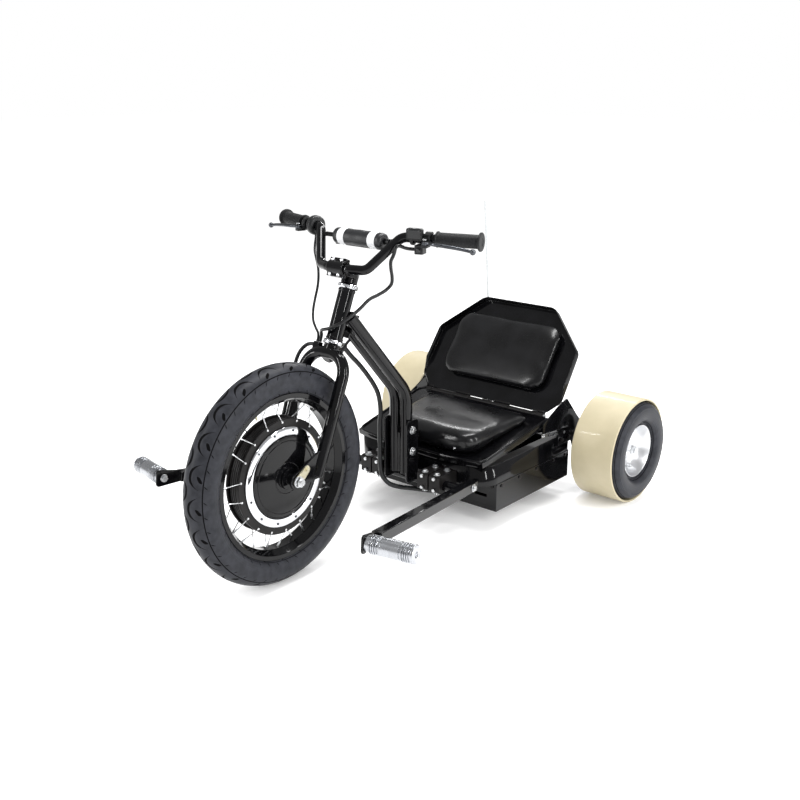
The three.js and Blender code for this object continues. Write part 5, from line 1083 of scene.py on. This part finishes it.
# %% Carrier details
for side, name in SIDES:
    bm = bmesh.new()
    mirror = on_side(side)
    plate(bm, [(322, 194.6), (442, 176.6), (442, 187.4), (322, 205.6)], 220.9, 222.6, 4, upwards=False)
    new_piece(f"link_strip_{name}", bm, zinc, "chassis", place=mirror, edge=0.3)
    bm = bmesh.new()
    rod(bm, (226, 406, 249), (231, 406, 249), 6, 6)
    for y, z in ((332, 198.5), (430, 184)):
        rod(bm, (222, y, z), (225.6, y, z), 4.4, 6)
    new_piece(f"link_bolts_{name}", bm, zinc, "chassis", place=mirror, edge=0.5)
    bm = bmesh.new()
    for y, z, x in ((430, 208, 226), (416, 166, 224.2), (452, 166, 224.2), (540, 190, 224.2)):
        rod(bm, (x, y, z), (x + 4.4, y, z), 6, 6)
    new_piece(f"carrier_bolts_{name}", bm, satin, "chassis", place=mirror, edge=0.5)
print("carrier details made")

# %% [markdown]
# ## Seat
# The tray is a folded sheet that slopes up to a piano hinge, and the seat back is a second sheet that folds
# forward on it. Both carry vinyl cushions. A cushion is foam under a skin, so it is blown up like one: the plain
# form is remeshed, inflated as cloth for some frames and frozen.


# %% Folded sheet
def folded(name, bm, finish, body, node, place, fold):
    """An open pan of sheet metal: its folds are rounded, and then the sheet gets its thickness."""
    piece = new_piece(name, bm, finish, body, [node], place, 0, 60)
    round_edges(piece, "folds", fold, 4, 60)
    thicken(piece)
    round_edges(piece, "cut_edges", 0.5, 2, 60)


print("folded sheet helper ready")

# %% Tray
bm = bmesh.new()
plate(bm, [(-211, 34), (-207, 4), (-110, -11), (110, -11), (207, 4), (211, 34), (223.4, 287.1), (-223.4, 287.1)],
      -13.7, 0, [30, 26, 200, 200, 26, 30, 6, 6], 8)
open_face(bm, -13.6, below=True)
folded("folded_tray", bm, gloss, "chassis", "seat_tray", tray_place, 3)
bm = bmesh.new()
RIM_HEIGHT = 1.4
half = [(-219, 276), (-215, 190), (-210.5, 100), (-207.5, 44), (-203, 16), (-186, 2.5), (-100, -7)]
rim_path = [(x, y, RIM_HEIGHT) for x, y in [*half, (0, -8.5), *[(-x, y) for x, y in reversed(half)]]]
tube(bm, flowing(rim_path), 3.2, 16)
new_piece("tray_rim_roll", bm, gloss, "chassis", place=tray_place, edge=0)
print("tray made with a rolled rim")

# %% Seat back shell
bm = bmesh.new()
plate(bm, [(-200, 8), (200, 8), (235, 46), (234.2, 90), (231.5, 190), (118, 302), (-118, 302), (-231.5, 190),
           (-234.2, 90), (-235, 46)], -SHEET, 19, [10, 10, 12, 0, 10, 14, 14, 10, 0, 12], 6)
open_face(bm, 18.9)
for vert in bm.verts:
    if vert.co.z > 0 and vert.co.y < 89:
        vert.co.z = 3.8
folded("dished_back_shell", bm, gloss, "seat_back", "seat_back_shell", back_place, 3.5)
print("shell made")

# %% Hinge
TRAY_KNUCKLES = [(-181, -104), (-48, 30), (85, 159)]
BACK_KNUCKLES = [(-199, -182), (-103, -49), (31, 84), (160, 199)]
bm = bmesh.new()
for low, high in TRAY_KNUCKLES:
    rod(bm, (low, 294.9, -2.5), (high, 294.9, -2.5), 6.8)
    block(bm, low, high, 284, 295, -2.6, 0)
new_piece("hinge_tray_knuckles", bm, satin, "chassis", place=tray_place, edge=0.8)
bm = bmesh.new()
for low, high in BACK_KNUCKLES:
    rod(bm, (low, 0, 0), (high, 0, 0), 7.6)
    block(bm, low, high, 0, 14, -2.5, 0.2)
new_piece("hinge_back_knuckles", bm, satin, "seat_back", place=back_place, edge=0.8)
bm = bmesh.new()
rod(bm, (-201.5, 0, 0), (201.5, 0, 0), 3.9)
for side in (-1, 1):
    rod(bm, (side * 199.3, 0, 0), (side * 202.4, 0, 0), 6, 24, 4)
new_piece("hinge_pin", bm, zinc, "chassis", place=Matrix.Translation(HINGE), edge=0.4)
print("hinge knuckles:", len(TRAY_KNUCKLES) + len(BACK_KNUCKLES))


# %% Stuffing
CLOTH_FRAMES = 16
SMOOTHINGS = 12
PRESSURE = 3.5
VOXEL = 5.5


def stuffed(name, node, cap):
    """A copy of a pad's solid, remeshed and blown up as cloth. No point moves more than the cap, in mm."""
    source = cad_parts[node]
    mesh = source.data.copy()
    bm = bmesh.new()
    bm.from_mesh(mesh)
    bmesh.ops.remove_doubles(bm, verts=bm.verts, dist=0.01 * MM)
    bm.to_mesh(mesh)
    bm.free()
    pad = show(name, mesh)
    add_modifier(pad, "remesh", "REMESH", mode="VOXEL", voxel_size=VOXEL * MM, use_smooth_shade=True)
    frozen = bpy.data.meshes.new_from_object(pad.evaluated_get(bpy.context.evaluated_depsgraph_get()))
    pad.modifiers.clear()
    pad.data = frozen
    rest = [vert.co.copy() for vert in frozen.vertices]
    cloth = pad.modifiers.new("foam", "CLOTH")
    cloth.settings.quality = 6
    cloth.settings.use_pressure = True
    cloth.settings.uniform_pressure_force = PRESSURE
    cloth.settings.tension_stiffness = 25
    cloth.settings.compression_stiffness = 25
    cloth.settings.bending_stiffness = 4
    cloth.settings.effector_weights.gravity = 0
    for number in range(1, CLOTH_FRAMES + 1):
        bpy.context.scene.frame_set(number)
    blown = pad.evaluated_get(bpy.context.evaluated_depsgraph_get()).to_mesh()
    for vert, start, end in zip(frozen.vertices, rest, [v.co.copy() for v in blown.vertices]):
        step = end - start
        vert.co = start + step.normalized() * min(step.length, cap * MM)
    pad.modifiers.clear()
    bpy.context.scene.frame_set(1)
    return pad


def settle(pad, place, low, sides):
    """Keeps a blown pad above what it lies on and inside its width, in the frame of its sheet."""
    back = place.inverted()
    for vert in pad.data.vertices:
        spot = back @ (vert.co / MM)
        spot.z = max(spot.z, low)
        spot.x = min(max(spot.x, sides[0]), sides[1])
        vert.co = (place @ spot) * MM


def finish_pad(pad, node, body):
    bm = bmesh.new()
    bm.from_mesh(pad.data)
    for _ in range(SMOOTHINGS):
        bmesh.ops.smooth_vert(bm, verts=bm.verts, factor=0.5, use_axis_x=True, use_axis_y=True, use_axis_z=True)
    bmesh.ops.recalc_face_normals(bm, faces=bm.faces)
    bm.to_mesh(pad.data)
    bm.free()
    pad.data.materials.clear()
    pad.data.materials.append(vinyl)
    pad.data.shade_smooth()
    add_modifier(pad, "skin", "SUBSURF", levels=1, render_levels=1)
    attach(pad, body)
    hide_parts(node)


cushion = stuffed("seat_cushion_skin", "seat_cushion", 5)
for vert in cushion.data.vertices:
    spot = tray_place.inverted() @ (vert.co / MM)
    front = min(max((130 - spot.y) / 118, 0), 1)
    spot.y -= 15 * front ** 1.5 * max(1 - ((spot.x - 18) / 150) ** 2, 0)
    spot.z *= 1 + 0.2 * min(front * 1.5, 1)
    vert.co = (tray_place @ spot) * MM
settle(cushion, tray_place, 0.4, (-160, 196))
finish_pad(cushion, "seat_cushion", "chassis")
back_pad = stuffed("back_cushion_skin", "seat_back_pad", 4)
settle(back_pad, back_place, 0.4, (-178, 178))
finish_pad(back_pad, "seat_back_pad", "seat_back")
print("cushion faces:", len(cushion.data.polygons), "and", len(back_pad.data.polygons))

# %% Cushion rivet
bm = bmesh.new()
rod(bm, (118, 10, 20), (118, 7.4, 20), 4.2, 24, 2.6)
new_piece("cushion_rivet", bm, zinc, "chassis", place=tray_place, edge=0.4)
print("rivet made")

# %% Flag pole and cables
bm = bmesh.new()
tube(bm, flowing([(-118, 560, 178), (-124, 560, 330), (-134, 560, 520), (-150, 560, 763)]), 3, 20)
rod(bm, (-118, 560, 176.6), (-119.2, 560, 206), 8, 32, 7)
new_piece("flag_rod", bm, glass_rod, "chassis", ["flag_pole"], edge=0.4)
bm = bmesh.new()
block(bm, -133, -103, 442, 575, 174.4, 179.3)
new_piece("flag_bracket", bm, gloss, "chassis", edge=1.2)
print("flag rod made")

# %% [markdown]
# ## Cables
# The control cables leave the switches, run down the bar and meet in a guide on the fork. On the trike a loose
# span lets them follow the steering to the harness on the neck; here the span is one fixed tube that rides on no
# body. A cable is a tube on a smooth curve through chosen points.

# %% Control and motor cables
ROUTES = {
    "right_control_cable": (3, "steering", [
        (-151.2, -123.7, 743.7), (-151.2, -125, 734), (-147, -132, 722), (-137, -143, 709), (-123, -153, 695),
        (-108, -163, 679), (-94, -176, 659), (-84, -190, 637), (-77, -206, 613), (-71, -219, 590),
        (-64, -227, 568), (-55, -229, 552), (-46, -230.5, 541), (-42, -234.2, 531.3), (-42, -237.7, 522.5)]),
    "left_control_cable": (4, "steering", [
        (156.4, -122, 742.2), (145, -125.7, 742.2), (139, -135, 744.5), (137, -147, 749), (136, -157, 752),
        (133, -163, 748), (129, -162, 738), (121, -158, 727), (113, -156, 715), (105, -147, 698),
        (95, -131, 672), (85, -123, 654), (77, -133, 641), (70, -153, 632), (63.5, -174, 624.5),
        (57.5, -200, 606), (50, -226, 590), (36, -246, 576), (12, -255, 564), (-11, -250, 557),
        (-26, -240, 549), (-33, -232, 540), (-33, -234.2, 531.3), (-33, -237.7, 522.5)]),
    "motor_cable": (4.5, "steering", [
        (-46.6, -241, 514.7), (-58, -241, 514.7), (-69, -245.5, 511), (-77, -254, 501), (-81, -263, 487),
        (-83, -271, 468), (-83, -281, 448), (-82, -292, 420), (-81, -303, 390), (-80, -315, 360),
        (-80, -328, 332), (-82, -345, 306), (-87, -366, 284), (-93, -386, 269), (-98, -402, 260),
        (-99, -412, 256.8), (-94, -415.4, 255.8), (-81.2, -415.4, 255.8)]),
    "wiring_harness": (6, "chassis", [
        (-42, -148, 490.4), (-42, -141.4, 482.9), (-42, -122, 462), (-42, -96, 437), (-42, -70, 408),
        (-42, -46, 378), (-43, -27, 348), (-44, -18, 318), (-44, -16, 290), (-45, -18, 262), (-45, -18, 234),
        (-45, -18, 206), (-44, -19, 178), (-41, -21, 150), (-34, -21, 126), (-18, -12, 106), (4, 6, 97),
        (30, 28, 93), (58, 50, 89), (86, 74, 86), (106, 94, 84), (116, 112, 84), (118, 130, 84), (118, 160, 83),
        (118, 190, 81), (118, 214.5, 80)]),
}
for node, (radius, body, route) in ROUTES.items():
    bm = bmesh.new()
    tube(bm, flowing(route, 5), radius, 20)
    new_piece(f"{node}_sheath", bm, sheath, body, [node], edge=0)
print("cables:", ", ".join(ROUTES))

# %% Loose span
span = flowing([(-37, -228, 503), (-40, -214, 488), (-42, -196, 474), (-42, -178, 470), (-42, -162, 476),
                (-42, -152, 487)], 8)
bm = bmesh.new()
tube(bm, span, 4.6, 20)
loose = new_piece("steering_cable_span", bm, sheath, None, edge=0)
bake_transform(loose)
print("span of", len(span), "points")

# %% [markdown]
# ## Plain nodes that stay
# Some parts are right as the solid model has them: flat plates, folded sheets and the parts inside the box. They
# keep their shape and only get their finish, whose shader softens their edges.

# %% Finishes of the plain nodes
KEPT = {
    gloss: ["battery_box", "axle_carrier_left", "axle_carrier_right", "seat_bracket_left", "seat_bracket_right"],
    satin: ["base_frame", "frame_clamp_left_1", "frame_clamp_left_2", "frame_clamp_right_1", "frame_clamp_right_2"],
    aluminium: ["motor_controller"],
    shrink_wrap: ["battery_pack"],
}
for finish, nodes in KEPT.items():
    for node in nodes:
        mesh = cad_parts[node].data
        mesh.materials.clear()
        mesh.materials.append(finish)
print("kept nodes:", sum(len(nodes) for nodes in KEPT.values()))

# %% [markdown]
# ## Floor
# The trike stands on a plain pale floor, big enough that its edge is never in view.

# %% Floor
bm = bmesh.new()
bmesh.ops.create_grid(bm, x_segments=1, y_segments=1, size=20)
floor_mesh = bpy.data.meshes.new("floor")
bm.to_mesh(floor_mesh)
bm.free()
floor = show("floor", floor_mesh)
studio_floor = new_finish("painted_studio_floor", Base_Color=paint("fcfcfc"), Roughness=0.9, Specular_IOR_Level=0,
                          Emission_Color=paint("ffffff"), Emission_Strength=0.13)[0]
floor_mesh.materials.append(studio_floor)
print("floor laid")
